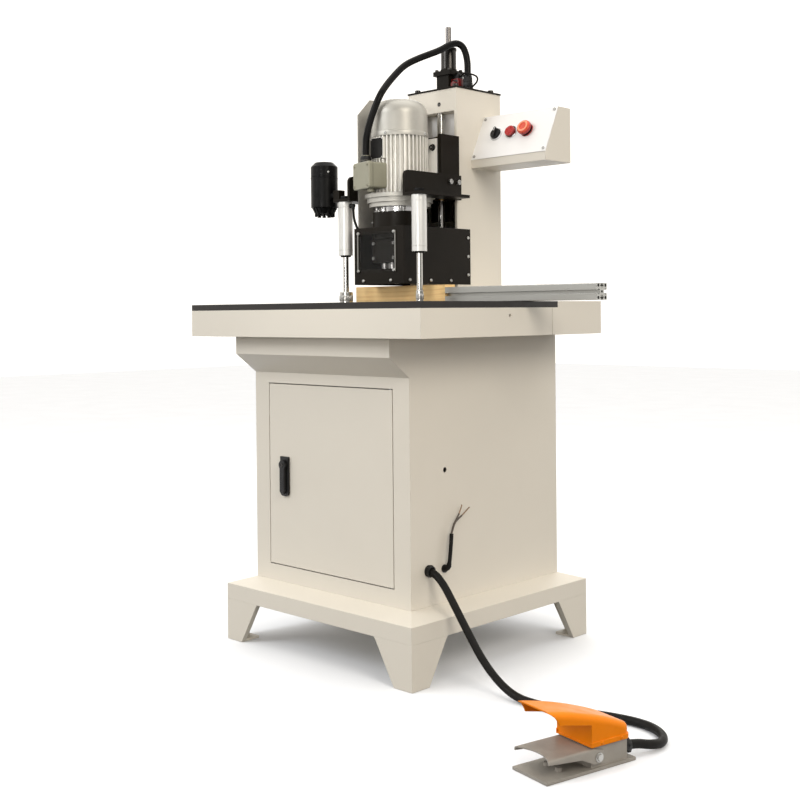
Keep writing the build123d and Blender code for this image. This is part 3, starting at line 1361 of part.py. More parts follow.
# Carriage on the guide rods, and the saddle that holds the motor
saddle_back = column_front - BRACKET_FLANGE_WALL - SLIDE_GAP
with BuildPart() as carriage:
    with BuildSketch(level(CARRIAGE_BOTTOM)):
        with Locations((0, feed_y)):
            Rectangle(CARRIAGE_WIDTH, CARRIAGE_DEPTH)
        span(-CARRIAGE_WIDTH / 2, NECK_RIGHT, saddle_back, feed_y)
        with Locations(*rod_places):
            Circle(BUSH_RADIUS, mode=Mode.SUBTRACT)
    extrude(amount=CARRIAGE_HEIGHT)
    with BuildSketch(level(CARRIAGE_BOTTOM)):
        span(-NECK_RIGHT, NECK_RIGHT, web_front, web_front + WEB_SHEET)
    extrude(amount=-TAIL_DROP)
carriage.part.label = "carriage"
export_step(carriage.part, "parts/carriage.step")

with BuildPart() as guide_bushes:
    for place in rod_places:
        for end, inward in ((CARRIAGE_BOTTOM, 1), (carriage_top, -1)):
            with BuildSketch(level(end)):
                with Locations(place):
                    Circle(BUSH_RADIUS)
            extrude(amount=inward * BUSH_LENGTH)
            with BuildSketch(level(end)):
                with Locations(place):
                    Circle(BUSH_FLANGE_RADIUS)
            extrude(amount=-inward * BUSH_FLANGE)
    with BuildSketch(level(CARRIAGE_BOTTOM - BUSH_FLANGE)):
        with Locations(*rod_places):
            Circle(ROD_RADIUS + RUNNING)
    extrude(amount=CARRIAGE_HEIGHT + 2 * BUSH_FLANGE, mode=Mode.SUBTRACT)
guide_bushes.part.label = "guide_bushes"
export_step(guide_bushes.part, "parts/guide_bushes.step")

with BuildPart() as motor_saddle:
    with BuildSketch(level(SADDLE_BOTTOM)):
        span(-SADDLE_WIDTH / 2, SADDLE_WIDTH / 2, SADDLE_FRONT, saddle_back)
        with Locations((0, MOTOR_Y)):
            Circle(FIN_RADIUS + SADDLE_FIT, mode=Mode.SUBTRACT)
    extrude(amount=SADDLE_HEIGHT)
motor_saddle.part.label = "motor_saddle"
export_step(motor_saddle.part, "parts/motor_saddle.step")


# Motor: flange with stepped rings, finned housing, fan cover and terminal box
motor_bottom = FLANGE_BOTTOM + FLANGE_DISC + sum(height for radius, height in FLANGE_RINGS)
motor_top = motor_bottom + MOTOR_HEIGHT


def motor_level(height):
    """Horizontal plane centred on the motor axis."""
    return Plane((0, MOTOR_Y, height))


def motor_face(bearing, reach):
    """Upright plane that faces away from the motor axis, turned to the left of straight ahead."""
    turn = radians(bearing)
    return Plane(
        origin=(-sin(turn) * reach, MOTOR_Y - cos(turn) * reach, 0),
        x_dir=(cos(turn), -sin(turn), 0),
        z_dir=(-sin(turn), -cos(turn), 0),
    )


with BuildPart() as motor_flange:
    with BuildSketch(motor_level(FLANGE_BOTTOM)):
        Circle(FLANGE_RADIUS)
    extrude(amount=FLANGE_DISC)
    ring_bottom = FLANGE_BOTTOM + FLANGE_DISC
    for radius, height in FLANGE_RINGS:
        with BuildSketch(motor_level(ring_bottom)):
            Circle(radius)
        extrude(amount=height)
        ring_bottom += height
    with BuildSketch(motor_level(FLANGE_BOTTOM)):
        Circle(SHAFT_RADIUS + RUNNING)
    extrude(amount=motor_bottom - FLANGE_BOTTOM, mode=Mode.SUBTRACT)
motor_flange.part.label = "motor_flange"
export_step(motor_flange.part, "parts/motor_flange.step")

fin_length = FIN_RADIUS - STATOR_BORE - SHIELD_WALL
with BuildPart() as motor_housing:
    with BuildSketch(motor_level(motor_bottom)):
        Circle(MOTOR_CORE)
        with PolarLocations(FIN_RADIUS - fin_length / 2, FIN_COUNT):
            Rectangle(fin_length, FIN_THICKNESS)
    extrude(amount=MOTOR_HEIGHT)
    with BuildSketch(motor_face(PLATE_PAD_TURN, STATOR_BORE + SHIELD_WALL)):
        with Locations((0, PLATE_PAD_BOTTOM + PLATE_PAD_HEIGHT / 2)):
            Rectangle(PLATE_PAD_WIDTH, PLATE_PAD_HEIGHT)
    extrude(amount=PLATE_PAD_REACH - STATOR_BORE - SHIELD_WALL)
    with BuildSketch(motor_level(motor_bottom)):
        Circle(STATOR_BORE)
    extrude(amount=MOTOR_HEIGHT - SHIELD_WALL, mode=Mode.SUBTRACT)
    with BuildSketch(motor_level(motor_top)):
        Circle(SHAFT_RADIUS + RUNNING)
    extrude(amount=-SHIELD_WALL, mode=Mode.SUBTRACT)
motor_housing.part.label = "motor_housing"
export_step(motor_housing.part, "parts/motor_housing.step")

with BuildPart() as fan_cover:
    with BuildSketch(motor_level(motor_top)):
        Circle(FAN_COVER_RADIUS)
    extrude(amount=FAN_COVER_HEIGHT)
    fillet(fan_cover.edges().group_by(Axis.Z)[-1], FAN_DOME)
    offset(amount=-FAN_COVER_SHEET, openings=fan_cover.faces().sort_by(Axis.Z)[0])
    with BuildSketch(motor_level(motor_top + FAN_COVER_HEIGHT)):
        with PolarLocations(VENT_RADIUS, VENT_COUNT):
            SlotOverall(VENT_LENGTH, VENT_WIDTH)
    extrude(amount=-FAN_COVER_SHEET, mode=Mode.SUBTRACT)
fan_cover.part.label = "fan_cover"
export_step(fan_cover.part, "parts/fan_cover.step")

terminal_top = TERMINAL_BOTTOM + TERMINAL_HEIGHT
terminal_body_bottom = TERMINAL_BOTTOM + TERMINAL_LID_LAP
terminal_body_top = terminal_top - TERMINAL_LID_LAP
gland_place = motor_face(TERMINAL_TURN, TERMINAL_GLAND_REACH)
lid_plane = motor_face(TERMINAL_TURN, TERMINAL_REACH)
with BuildPart() as terminal_box:
    with BuildSketch(lid_plane) as lid_sketch:
        span(-TERMINAL_WIDTH / 2, TERMINAL_WIDTH / 2, TERMINAL_BOTTOM, terminal_top)
        fillet(lid_sketch.vertices(), TERMINAL_ROUND)
    extrude(amount=-TERMINAL_LID)
    lid_face = terminal_box.faces().filter_by(lid_plane).sort_by(Axis.Y)[0]
    fillet(lid_face.edges(), TERMINAL_LID_ROUND)
    with BuildSketch(motor_face(TERMINAL_TURN, STATOR_BORE + SHIELD_WALL)) as body_sketch:
        span(
            TERMINAL_LID_LAP - TERMINAL_WIDTH / 2,
            TERMINAL_WIDTH / 2 - TERMINAL_LID_LAP,
            terminal_body_bottom,
            terminal_body_top,
        )
        fillet(body_sketch.vertices(), TERMINAL_ROUND - TERMINAL_LID_LAP)
    extrude(amount=TERMINAL_REACH - TERMINAL_LID - STATOR_BORE - SHIELD_WALL)
    for place, height, radius in (
        ((-TERMINAL_GLAND_LEFT, terminal_body_top), TERMINAL_GLAND_HEIGHT, TERMINAL_GLAND),
        ((TERMINAL_GLAND_LEFT, terminal_body_bottom), -TERMINAL_PLUG_HEIGHT, TERMINAL_PLUG),
    ):
        spot = gland_place.from_local_coords((place[0], place[1], 0))
        with BuildSketch(Plane(spot)):
            Circle(radius)
        extrude(amount=height)
    with BuildSketch(motor_level(TERMINAL_BOTTOM)):
        Circle(FIN_RADIUS + SADDLE_FIT)
    extrude(amount=TERMINAL_HEIGHT, mode=Mode.SUBTRACT)
terminal_box.part.label = "terminal_box"
export_step(terminal_box.part, "parts/terminal_box.step")


# Adapter and gear case under the flange
adapter_top = FLANGE_BOTTOM - ADAPTER_NECK_HEIGHT
adapter_bottom = adapter_top - ADAPTER_HEIGHT
case_bottom = adapter_bottom - GEAR_CASE_HEIGHT
dowel_x = DOWEL_SPACING / 2
dowel_y = spindle_y - DOWEL_OFFSET
dowel_places = ((-dowel_x, dowel_y), (dowel_x, dowel_y))
with BuildPart() as gearbox_adapter:
    with BuildSketch(motor_level(adapter_bottom)):
        Circle(ADAPTER_RADIUS)
    extrude(amount=ADAPTER_HEIGHT)
    with BuildSketch(motor_level(adapter_top)):
        Circle(ADAPTER_NECK)
    extrude(amount=ADAPTER_NECK_HEIGHT)
    with BuildSketch(motor_level(adapter_bottom)):
        Circle(ADAPTER_BORE)
    extrude(amount=ADAPTER_HEIGHT + ADAPTER_NECK_HEIGHT, mode=Mode.SUBTRACT)
    with BuildSketch(level(adapter_bottom)):
        with Locations((0, spindle_y)):
            Circle(MIDDLE_SHAFT + RUNNING)
        with Locations(*dowel_places):
            Circle(OUTER_SHAFT + RUNNING)
    extrude(amount=SHAFT_SOCKET, mode=Mode.SUBTRACT)
    with BuildSketch(motor_level(adapter_top)):
        with PolarLocations(ADAPTER_BOLT_CIRCLE, ADAPTER_BOLT_COUNT):
            Circle(BOLT_RADIUS)
    extrude(amount=-ADAPTER_HEIGHT / 4, mode=Mode.SUBTRACT)
gearbox_adapter.part.label = "gearbox_adapter"
export_step(gearbox_adapter.part, "parts/gearbox_adapter.step")

case_front = spindle_y - GEAR_CASE_FRONT
case_rear = MOTOR_Y + GEAR_CASE_REAR
with BuildPart() as gearbox_housing:
    with BuildSketch(level(case_bottom)) as case_sketch:
        span(-GEAR_CASE_WIDTH / 2, GEAR_CASE_WIDTH / 2, case_front, case_rear)
        fillet(case_sketch.vertices(), GEAR_CASE_ROUND)
    extrude(amount=GEAR_CASE_HEIGHT)
    with BuildSketch(level(case_bottom + GEAR_CASE_FLOOR)):
        span(
            GEAR_CASE_WALL - GEAR_CASE_WIDTH / 2,
            GEAR_CASE_WIDTH / 2 - GEAR_CASE_WALL,
            case_front + GEAR_CASE_WALL,
            case_rear - GEAR_CASE_WALL,
        )
    extrude(amount=GEAR_CASE_HEIGHT - GEAR_CASE_FLOOR, mode=Mode.SUBTRACT)
    with BuildSketch(level(case_bottom)):
        with Locations((0, spindle_y)):
            Circle(MIDDLE_SHAFT + RUNNING)
        with Locations(*dowel_places):
            Circle(OUTER_SHAFT + RUNNING)
    extrude(amount=GEAR_CASE_FLOOR, mode=Mode.SUBTRACT)
gearbox_housing.part.label = "gearbox_housing"
export_step(gearbox_housing.part, "parts/gearbox_housing.step")

saddle_screws = [
    (hand * SADDLE_SCREW_X, z)
    for hand in (-1, 1)
    for z in (SADDLE_BOTTOM + SADDLE_SCREW_INSET, SADDLE_BOTTOM + SADDLE_HEIGHT - SADDLE_SCREW_INSET)
]
with BuildPart() as head_screws:
    with BuildSketch(facing(SADDLE_FRONT)):
        with Locations(*saddle_screws):
            Circle(SADDLE_SCREW_RADIUS)
    extrude(amount=SADDLE_SCREW_HEIGHT)
    with BuildSketch(motor_level(adapter_top)):
        with PolarLocations(ADAPTER_BOLT_CIRCLE, ADAPTER_BOLT_COUNT):
            RegularPolygon(NUT_RADIUS, 6)
    extrude(amount=NUT_HEIGHT)
    with BuildSketch(motor_level(FLANGE_BOTTOM)):
        with PolarLocations(ADAPTER_BOLT_CIRCLE, ADAPTER_BOLT_COUNT):
            Circle(BOLT_RADIUS)
    extrude(amount=-(ADAPTER_NECK_HEIGHT + ADAPTER_HEIGHT / 4))
head_screws.part.label = "head_screws"
export_step(head_screws.part, "parts/head_screws.step")


# Turning parts: motor rotor, middle spindle with the cup cutter, outer spindles with dowel bits
dowel_reach = hypot(dowel_x, DOWEL_OFFSET)
pinion_radius = SPINDLE_OFFSET / 2
dowel_gear_radius = dowel_reach / 2
upper_gear = case_bottom + UPPER_GEAR_RISE
lower_gear = case_bottom + LOWER_GEAR_RISE
spindle_top = adapter_bottom + SHAFT_SOCKET - CHUCK_GAP
chuck_top = case_bottom - CHUCK_GAP
chuck_bottom = chuck_top - CHUCK_HEIGHT
# Angles, in degrees, of one tooth on each gear: a driving tooth always meets a gap
pinion_tooth = -90.0
middle_upper_tooth = 90.0 + 180 / PINION_TEETH
middle_lower_tooth = 0.0


def gear(pitch_radius, teeth, first_tooth):
    """Spur gear round the sketch's origin with a tooth centred on the given angle."""
    root = pitch_radius - TOOTH_ROOT
    tip = pitch_radius + TOOTH_TIP
    Circle(root)
    depth = tip - root + TOOTH_ROOT
    width = TOOTH_SHARE * 2 * pitch_radius * radians(180) / teeth
    with PolarLocations(tip - depth / 2, teeth, start_angle=first_tooth):
        Rectangle(depth, width)


with BuildPart() as motor_rotor:
    with BuildSketch(motor_level(upper_gear)):
        Circle(SHAFT_RADIUS)
    extrude(amount=motor_top + FAN_RISE + FAN_HEIGHT - upper_gear)
    with BuildSketch(motor_level(upper_gear)):
        gear(pinion_radius, PINION_TEETH, pinion_tooth)
    extrude(amount=GEAR_WIDTH)
    with BuildSketch(motor_level(motor_bottom + ROTOR_INSET)):
        Circle(ROTOR_RADIUS)
    extrude(amount=MOTOR_HEIGHT - SHIELD_WALL - 2 * ROTOR_INSET)
    with BuildSketch(motor_level(motor_top + FAN_RISE)):
        Circle(FAN_HUB)
        with PolarLocations((FAN_HUB + FAN_RADIUS) / 2, FAN_BLADES):
            Rectangle(FAN_RADIUS - FAN_HUB + FAN_BLADE, FAN_BLADE)
    extrude(amount=FAN_HEIGHT)
motor_rotor.part.label = "motor_rotor"
export_step(motor_rotor.part, "parts/motor_rotor.step")

cutter_top = chuck_bottom - CUTTER_STEM_HEIGHT
cutter_bottom = cutter_top - CUTTER_HEAD
with BuildPart() as centre_spindle:
    with BuildSketch(Plane((0, spindle_y, chuck_top))):
        Circle(MIDDLE_SHAFT)
    extrude(amount=spindle_top - chuck_top)
    with BuildSketch(Plane((0, spindle_y, upper_gear))):
        gear(pinion_radius, PINION_TEETH, middle_upper_tooth)
    extrude(amount=GEAR_WIDTH)
    with BuildSketch(Plane((0, spindle_y, lower_gear))):
        gear(dowel_gear_radius, DOWEL_TEETH, middle_lower_tooth)
    extrude(amount=GEAR_WIDTH)
    with BuildSketch(Plane((0, spindle_y, chuck_top))):
        Circle(MIDDLE_CHUCK)
    extrude(amount=-CHUCK_HEIGHT)
    with BuildSketch(Plane((0, spindle_y, chuck_bottom))):
        Circle(CUTTER_STEM)
    extrude(amount=-CUTTER_STEM_HEIGHT)
    with BuildSketch(upright(0, spindle_y)):
        outline(
            (0, cutter_bottom - CUTTER_POINT),
            (CUTTER_POINT, cutter_bottom),
            (CUTTER_RADIUS, cutter_bottom),
            (CUTTER_RADIUS, cutter_top),
            (0, cutter_top),
        )
    revolve(axis=Axis((0, spindle_y, 0), (0, 0, 1)))
centre_spindle.part.label = "centre_spindle"
export_step(centre_spindle.part, "parts/centre_spindle.step")

bit_bottom = chuck_bottom - DOWEL_BIT_LENGTH
for name, (x, y) in zip(("left", "right"), dowel_places):
    bearing = degrees(atan2(y - spindle_y, x))
    mesh_tooth = 2 * bearing + 180 - middle_lower_tooth + 180 / DOWEL_TEETH
    with BuildPart() as outer_spindle:
        with BuildSketch(Plane((x, y, chuck_top))):
            Circle(OUTER_SHAFT)
        extrude(amount=spindle_top - chuck_top)
        with BuildSketch(Plane((x, y, lower_gear))):
            gear(dowel_gear_radius, DOWEL_TEETH, mesh_tooth)
        extrude(amount=GEAR_WIDTH)
        with BuildSketch(Plane((x, y, chuck_top))):
            Circle(OUTER_CHUCK)
        extrude(amount=-CHUCK_HEIGHT)
        with BuildSketch(upright(x, y)):
            outline(
                (0, bit_bottom - DOWEL_POINT),
                (DOWEL_BIT, bit_bottom),
                (DOWEL_BIT, chuck_bottom),
                (0, chuck_bottom),
            )
        revolve(axis=Axis((x, y, 0), (0, 0, 1)))
    outer_spindle.part.label = f"outer_spindle_{name}"
    export_step(outer_spindle.part, f"parts/outer_spindle_{name}.step")


# Foot pedal in its own plane: x across the pedal, y from the toe to the heel
pedal_floor = Plane(
    origin=(PEDAL_X, PEDAL_Y, 0),
    x_dir=(cos(radians(PEDAL_TURN)), sin(radians(PEDAL_TURN)), 0),
    z_dir=(0, 0, 1),
)
pedal_axis = Axis(pedal_floor.origin, pedal_floor.y_dir)
pedal_side = PEDAL_WIDTH / 2
housing_side = HOUSING_WIDTH / 2
hood_inner = pedal_side - HOOD_SHEET
treadle_inner = pedal_side - TREADLE_SHEET


def pedal_section(across):
    """Upright plane along the pedal; sketches there are drawn in the pedal's y and z."""
    return Plane(
        origin=pedal_floor.from_local_coords((across, 0, 0)),
        x_dir=pedal_floor.y_dir,
        z_dir=pedal_floor.x_dir,
    )


def pedal_facing(along):
    """Upright plane across the pedal that faces its heel."""
    return Plane(
        origin=pedal_floor.from_local_coords((0, along, 0)),
        x_dir=pedal_floor.x_dir * -1,
        z_dir=pedal_floor.y_dir,
    )


with BuildPart() as pedal_base:
    with BuildSketch(pedal_floor):
        span(-pedal_side, pedal_side, PEDAL_FRONT, PEDAL_REAR)
    extrude(amount=PEDAL_PLATE)
    with BuildSketch(pedal_floor.offset(PEDAL_PLATE)):
        span(-housing_side, housing_side, HOUSING_FRONT, HOUSING_REAR)
        span(
            HOUSING_WALL - housing_side,
            housing_side - HOUSING_WALL,
            HOUSING_FRONT + HOUSING_WALL,
            HOUSING_REAR - HOUSING_WALL,
            mode=Mode.SUBTRACT,
        )
    extrude(amount=HOUSING_TOP - PEDAL_PLATE)
    with BuildSketch(pedal_section(-pedal_side - CONTROL_GAP)):
        with Locations((TREADLE_PIVOT_Y, TREADLE_PIVOT_Z)):
            Circle(PEDAL_PIN)
    extrude(amount=PEDAL_WIDTH + 2 * CONTROL_GAP)
    for hand in (-1, 1):
        with BuildSketch(pedal_section(hand * (pedal_side + CONTROL_GAP))):
            with Locations((TREADLE_PIVOT_Y, TREADLE_PIVOT_Z)):
                RegularPolygon(PEDAL_PIN_HEAD, 6)
        extrude(amount=hand * PEDAL_PIN_HEAD_HEIGHT)
    with BuildSketch(pedal_floor.offset(PEDAL_PLATE)):
        with Locations((0, PEDAL_FRONT / 2)):
            with GridLocations(PEDAL_WIDTH / 3, 0, 2, 1):
                Circle(PEDAL_PIN_HEAD)
    extrude(amount=PEDAL_PIN_HEAD)
    with BuildSketch(pedal_facing(HOUSING_REAR)):
        with Locations((-PEDAL_GLAND_X, PEDAL_GLAND_Z)):
            Circle(HOSE_DIAMETER / 2 + HOLE_CLEARANCE)
    extrude(amount=-HOUSING_WALL, mode=Mode.SUBTRACT)
pedal_base.part.label = "pedal_base"
export_step(pedal_base.part, "parts/pedal_base.step")

treadle_underside = TREADLE_TOP - TREADLE_SHEET
with BuildPart() as pedal_treadle:
    with BuildSketch(pedal_floor.offset(treadle_underside)):
        with BuildLine():
            Line((treadle_inner, TREADLE_FRONT), (treadle_inner, HOUSING_FRONT - SLIDE_GAP))
            Line(
                (treadle_inner, HOUSING_FRONT - SLIDE_GAP), (-treadle_inner, HOUSING_FRONT - SLIDE_GAP)
            )
            Line((-treadle_inner, HOUSING_FRONT - SLIDE_GAP), (-treadle_inner, TREADLE_FRONT))
            ThreePointArc(
                (-treadle_inner, TREADLE_FRONT),
                (0, TREADLE_FRONT + TREADLE_NOTCH),
                (treadle_inner, TREADLE_FRONT),
            )
        make_face()
    extrude(amount=TREADLE_SHEET)
    for hand in (-1, 1):
        with BuildSketch(pedal_section(hand * treadle_inner)):
            outline(
                (TREADLE_FRONT, TREADLE_TOP - TREADLE_LIP),
                (HOUSING_FRONT - TREADLE_HEEL, TREADLE_TOP - 2 * TREADLE_LIP),
                (TREADLE_PIVOT_Y - TREADLE_EAR, TREADLE_PIVOT_Z - TREADLE_EAR),
                (TREADLE_PIVOT_Y + TREADLE_EAR, TREADLE_PIVOT_Z - TREADLE_EAR),
                (TREADLE_PIVOT_Y + TREADLE_EAR, TREADLE_PIVOT_Z + TREADLE_EAR),
                (HOUSING_FRONT, TREADLE_TOP),
                (TREADLE_FRONT, TREADLE_TOP),
            )
            with Locations((TREADLE_PIVOT_Y, TREADLE_PIVOT_Z)):
                Circle(PEDAL_PIN + RUNNING, mode=Mode.SUBTRACT)
        extrude(amount=hand * TREADLE_SHEET)
    long_edges = pedal_treadle.edges().filter_by(pedal_axis).group_by(Axis.Z)[-1]
    fillet(long_edges.sort_by(SortBy.LENGTH)[-2:], TREADLE_ROUND)
pedal_treadle.part.label = "pedal_treadle"
export_step(pedal_treadle.part, "parts/pedal_treadle.step")

# Hood: a rounded solid less the room inside it, which is the same form set in by the sheet
def hood_roof(drop):
    """Roof line from the heel to the tip of the visor, this far under the outer face."""
    ThreePointArc(
        (HOOD_REAR - drop, HOOD_REAR_Z - drop),
        (HOOD_CREST_Y, HOOD_CREST_Z - drop),
        (HOOD_TIP_Y, HOOD_TIP_Z - drop),
    )


def upper_edges(solid):
    """Edges of a hood form along the roof's sides and heel and down the heel's two corners."""
    roof = solid.faces().filter_by(GeomType.CYLINDER).sort_by(SortBy.AREA)[-1]
    heel = solid.faces().filter_by(pedal_facing(0)).sort_by(pedal_axis)[-1]
    return roof.edges().filter_by(GeomType.CIRCLE) + heel.edges().sort_by(Axis.Z)[1:]


with BuildPart() as hood_room:
    with BuildSketch(pedal_section(-hood_inner)):
        with BuildLine():
            hood_roof(HOOD_SHEET)
            Polyline(
                (HOOD_TIP_Y, HOOD_TIP_Z - HOOD_SHEET),
                (HOOD_TIP_Y, HOUSING_TOP + HOOD_SHEET),
                (HOOD_REAR - HOOD_SHEET, HOUSING_TOP + HOOD_SHEET),
                (HOOD_REAR - HOOD_SHEET, HOOD_REAR_Z - HOOD_SHEET),
            )
        make_face()
    extrude(amount=2 * hood_inner)
    fillet(upper_edges(hood_room), HOOD_ROUND - HOOD_SHEET)
    with BuildSketch(pedal_facing(HOOD_FACE)):
        Rectangle(2 * PEDAL_WIDTH, 2 * HOOD_TIP_Z)
    extrude(amount=HOOD_SHEET, mode=Mode.SUBTRACT)

with BuildPart() as pedal_hood:
    with BuildSketch(pedal_section(-pedal_side)):
        with BuildLine():
            hood_roof(0)
            Line((HOOD_TIP_Y, HOOD_TIP_Z), (HOOD_TIP_Y, HOOD_TIP_Z - HOOD_SHEET))
            ThreePointArc(
                (HOOD_TIP_Y, HOOD_TIP_Z - HOOD_SHEET),
                (
                    (HOOD_TIP_Y + HOOD_SKIRT_Y) / 2 + HOOD_SKIRT_SWEEP,
                    (HOOD_TIP_Z - HOOD_SHEET + HOOD_SKIRT_Z) / 2 + HOOD_SKIRT_SWEEP,
                ),
                (HOOD_SKIRT_Y, HOOD_SKIRT_Z),
            )
            Polyline(
                (HOOD_SKIRT_Y, HOOD_SKIRT_Z),
                (HOOD_FACE, HOOD_CREST_Z - HOOD_SKIRT_DROP),
                (HOOD_FACE, HOUSING_TOP),
                (HOOD_REAR, HOUSING_TOP),
                (HOOD_REAR, HOOD_REAR_Z),
            )
        make_face()
    extrude(amount=PEDAL_WIDTH)
    fillet(upper_edges(pedal_hood), HOOD_ROUND)
    with BuildSketch(pedal_floor.offset(HOUSING_TOP)) as rim_sketch:
        span(-pedal_side - HOOD_RIM, pedal_side + HOOD_RIM, HOOD_FACE - HOOD_RIM, HOOD_REAR + HOOD_RIM)
        fillet(rim_sketch.vertices().group_by(pedal_axis)[-1], HOOD_ROUND)
        fillet(rim_sketch.vertices().group_by(pedal_axis)[0], HOOD_SHEET)
    extrude(amount=HOOD_RIM_HEIGHT)
    add(hood_room.part, mode=Mode.SUBTRACT)
    with BuildSketch(pedal_floor.offset(HOUSING_TOP)):
        span(
            2 * HOUSING_WALL - housing_side,
            housing_side - 2 * HOUSING_WALL,
            HOUSING_FRONT + 2 * HOUSING_WALL,
            HOUSING_REAR - 2 * HOUSING_WALL,
        )
    extrude(amount=HOOD_SHEET, mode=Mode.SUBTRACT)
pedal_hood.part.label = "pedal_hood"
export_step(pedal_hood.part, "parts/pedal_hood.step")


# Glands: hose and mains in the cabinet side, conduit on the cap, hose at the pedal's heel
with BuildPart() as cable_glands:
    for y, z, diameter, neck in (
        (HOSE_EXIT_Y, HOSE_EXIT_Z, HOSE_DIAMETER, hose_neck),
        (MAINS_EXIT_Y, MAINS_EXIT_Z, MAINS_DIAMETER, mains_neck),
    ):
        with BuildSketch(sideways(cabinet_side)):
            with Locations((y, z)):
                Circle(diameter / 2 + GLAND_WALL)
        extrude(amount=GLAND_FLANGE)
        with BuildSketch(sideways(cabinet_side)):
            with Locations((y, z)):
                Circle(neck)
        extrude(amount=-GLAND_NECK)
        with BuildSketch(sideways(cabinet_side + GLAND_FLANGE)):
            with Locations((y, z)):
                Circle(diameter / 2)
        extrude(amount=-(GLAND_FLANGE + GLAND_NECK), mode=Mode.SUBTRACT)
    with BuildSketch(Plane((CONDUIT_GLAND_X, CONDUIT_GLAND_Y, cap_top))):
        RegularPolygon(CONDUIT_GLAND_RADIUS, 6)
    extrude(amount=CONDUIT_GLAND_HEIGHT / 2)
    with BuildSketch(Plane((CONDUIT_GLAND_X, CONDUIT_GLAND_Y, cap_top))):
        Circle(CONDUIT_DIAMETER / 2 + 2 * HOLE_CLEARANCE)
    extrude(amount=CONDUIT_GLAND_HEIGHT)
    with BuildSketch(pedal_facing(HOUSING_REAR)):
        with Locations((-PEDAL_GLAND_X, PEDAL_GLAND_Z)):
            Circle(HOSE_DIAMETER / 2 + GLAND_WALL)
            Circle(HOSE_DIAMETER / 2, mode=Mode.SUBTRACT)
    extrude(amount=PEDAL_GLAND_LENGTH)
cable_glands.part.label = "cable_glands"
export_step(cable_glands.part, "parts/cable_glands.step")


# Cords, along points placed by hand with bends as wide as their runs allow
def bend_radii(points):
    """One radius for each inner point of a route."""
    radii = []
    for before, here, after in zip(points, points[1:], points[2:]):
        arriving = Vector(*here) - Vector(*before)
        leaving = Vector(*after) - Vector(*here)
        half_turn = radians(arriving.get_angle(leaving)) / 2
        radii.append(0.45 * min(arriving.length, leaving.length) / tan(half_turn))
    return radii


def cord(points, diameter, name):
    """Round cord along a route; prints its bends, its length and how its volume compares."""
    radii = bend_radii(points)
    with BuildPart() as tube:
        with BuildLine() as route:
            FilletPolyline(*points, radius=radii)
        with BuildSketch(Plane(origin=route.line @ 0, z_dir=route.line % 0)):
            Circle(diameter / 2)
        sweep()
    length = route.wire().length
    plain = radians(180) * diameter**2 / 4 * length
    print(name, "radii", [round(radius) for radius in radii], "length", round(length))
    print(name, "volume over section times length", round(tube.part.volume / plain, 4))
    return tube.part


on_floor = HOSE_DIAMETER / 2 + CONTROL_GAP
hose_route = (
    (cabinet_side - GLAND_NECK, HOSE_EXIT_Y, HOSE_EXIT_Z),
    (306, -227, 258),
    (338, -227, 236),
    (374, -228, 190),
    (418, -228, 130),
    (466, -229, 70),
    (518, -229, 28),
    (572, -234, on_floor),
    (636, -236, on_floor),
    (695, -224, on_floor),
    (749, -206, on_floor),
    (800, -190, on_floor),
    (850, -182, on_floor),
    (895, -187, on_floor),
    (934, -211, on_floor),
    (957, -246, on_floor),
    (957, -283, 14),
    tuple(pedal_floor.from_local_coords((PEDAL_GLAND_X, HOUSING_REAR + GLAND_STRAIGHT, PEDAL_GLAND_Z))),
    tuple(pedal_floor.from_local_coords((PEDAL_GLAND_X, HOUSING_REAR - GLAND_FLANGE, PEDAL_GLAND_Z))),
)
with BuildPart() as pedal_hose:
    add(cord(hose_route, HOSE_DIAMETER, "pedal_hose"))
pedal_hose.part.label = "pedal_hose"
export_step(pedal_hose.part, "parts/pedal_hose.step")

mains_route = (
    (cabinet_side - GLAND_NECK, MAINS_EXIT_Y, MAINS_EXIT_Z),
    (305, -170, 255),
    (308, -168, 277),
    (308, -165, 299),
    (306, -160, 320),
    (305, -157, 341),
)
core_routes = (
    ((305, -158, 338), (305, -151, 352), (305, -133, 366), (305, -110, 381), (305, -88, 397)),
    ((304, -159, 338), (303, -155, 354), (303, -145, 373), (304, -132, 391), (305, -118, 408)),
)
with BuildPart() as mains_lead:
    add(cord(mains_route, MAINS_DIAMETER, "mains_lead"))
    for core in core_routes:
        add(cord(core, CORE_DIAMETER, "mains_core"))
mains_lead.part.label = "mains_lead"
export_step(mains_lead.part, "parts/mains_lead.step")

conduit_start = gland_place.from_local_coords(
    (-TERMINAL_GLAND_LEFT, terminal_body_top + TERMINAL_GLAND_HEIGHT, 0)
)
conduit_route = (
    tuple(conduit_start),
    tuple(conduit_start + Vector(0, 0, TERMINAL_GLAND_HEIGHT)),
    (-33, -109, TABLE_HEIGHT + 453.5),
    (-13, -107, TABLE_HEIGHT + 505.5),
    (5, -96, TABLE_HEIGHT + 555.5),
    (0, -66, TABLE_HEIGHT + 587.5),
    (-1, -28, TABLE_HEIGHT + 623.5),
    (1, 8, TABLE_HEIGHT + 654.5),
    (13, 45, TABLE_HEIGHT + 674.5),
    (27, 83, TABLE_HEIGHT + 691.5),
    (36, 113, TABLE_HEIGHT + 704.5),
    (47, 143, TABLE_HEIGHT + 723.5),
    (55, 165, TABLE_HEIGHT + 730.5),
    (61, 183, TABLE_HEIGHT + 722.5),
    (64, 193, TABLE_HEIGHT + 700.5),
    (66, 196, TABLE_HEIGHT + 677.5),
    (CONDUIT_GLAND_X, CONDUIT_GLAND_Y, cap_top + CONDUIT_GLAND_HEIGHT + 16),
    (CONDUIT_GLAND_X, CONDUIT_GLAND_Y, cap_top + CONDUIT_GLAND_HEIGHT),
)
with BuildPart() as motor_conduit:
    add(cord(conduit_route, CONDUIT_DIAMETER, "motor_conduit"))
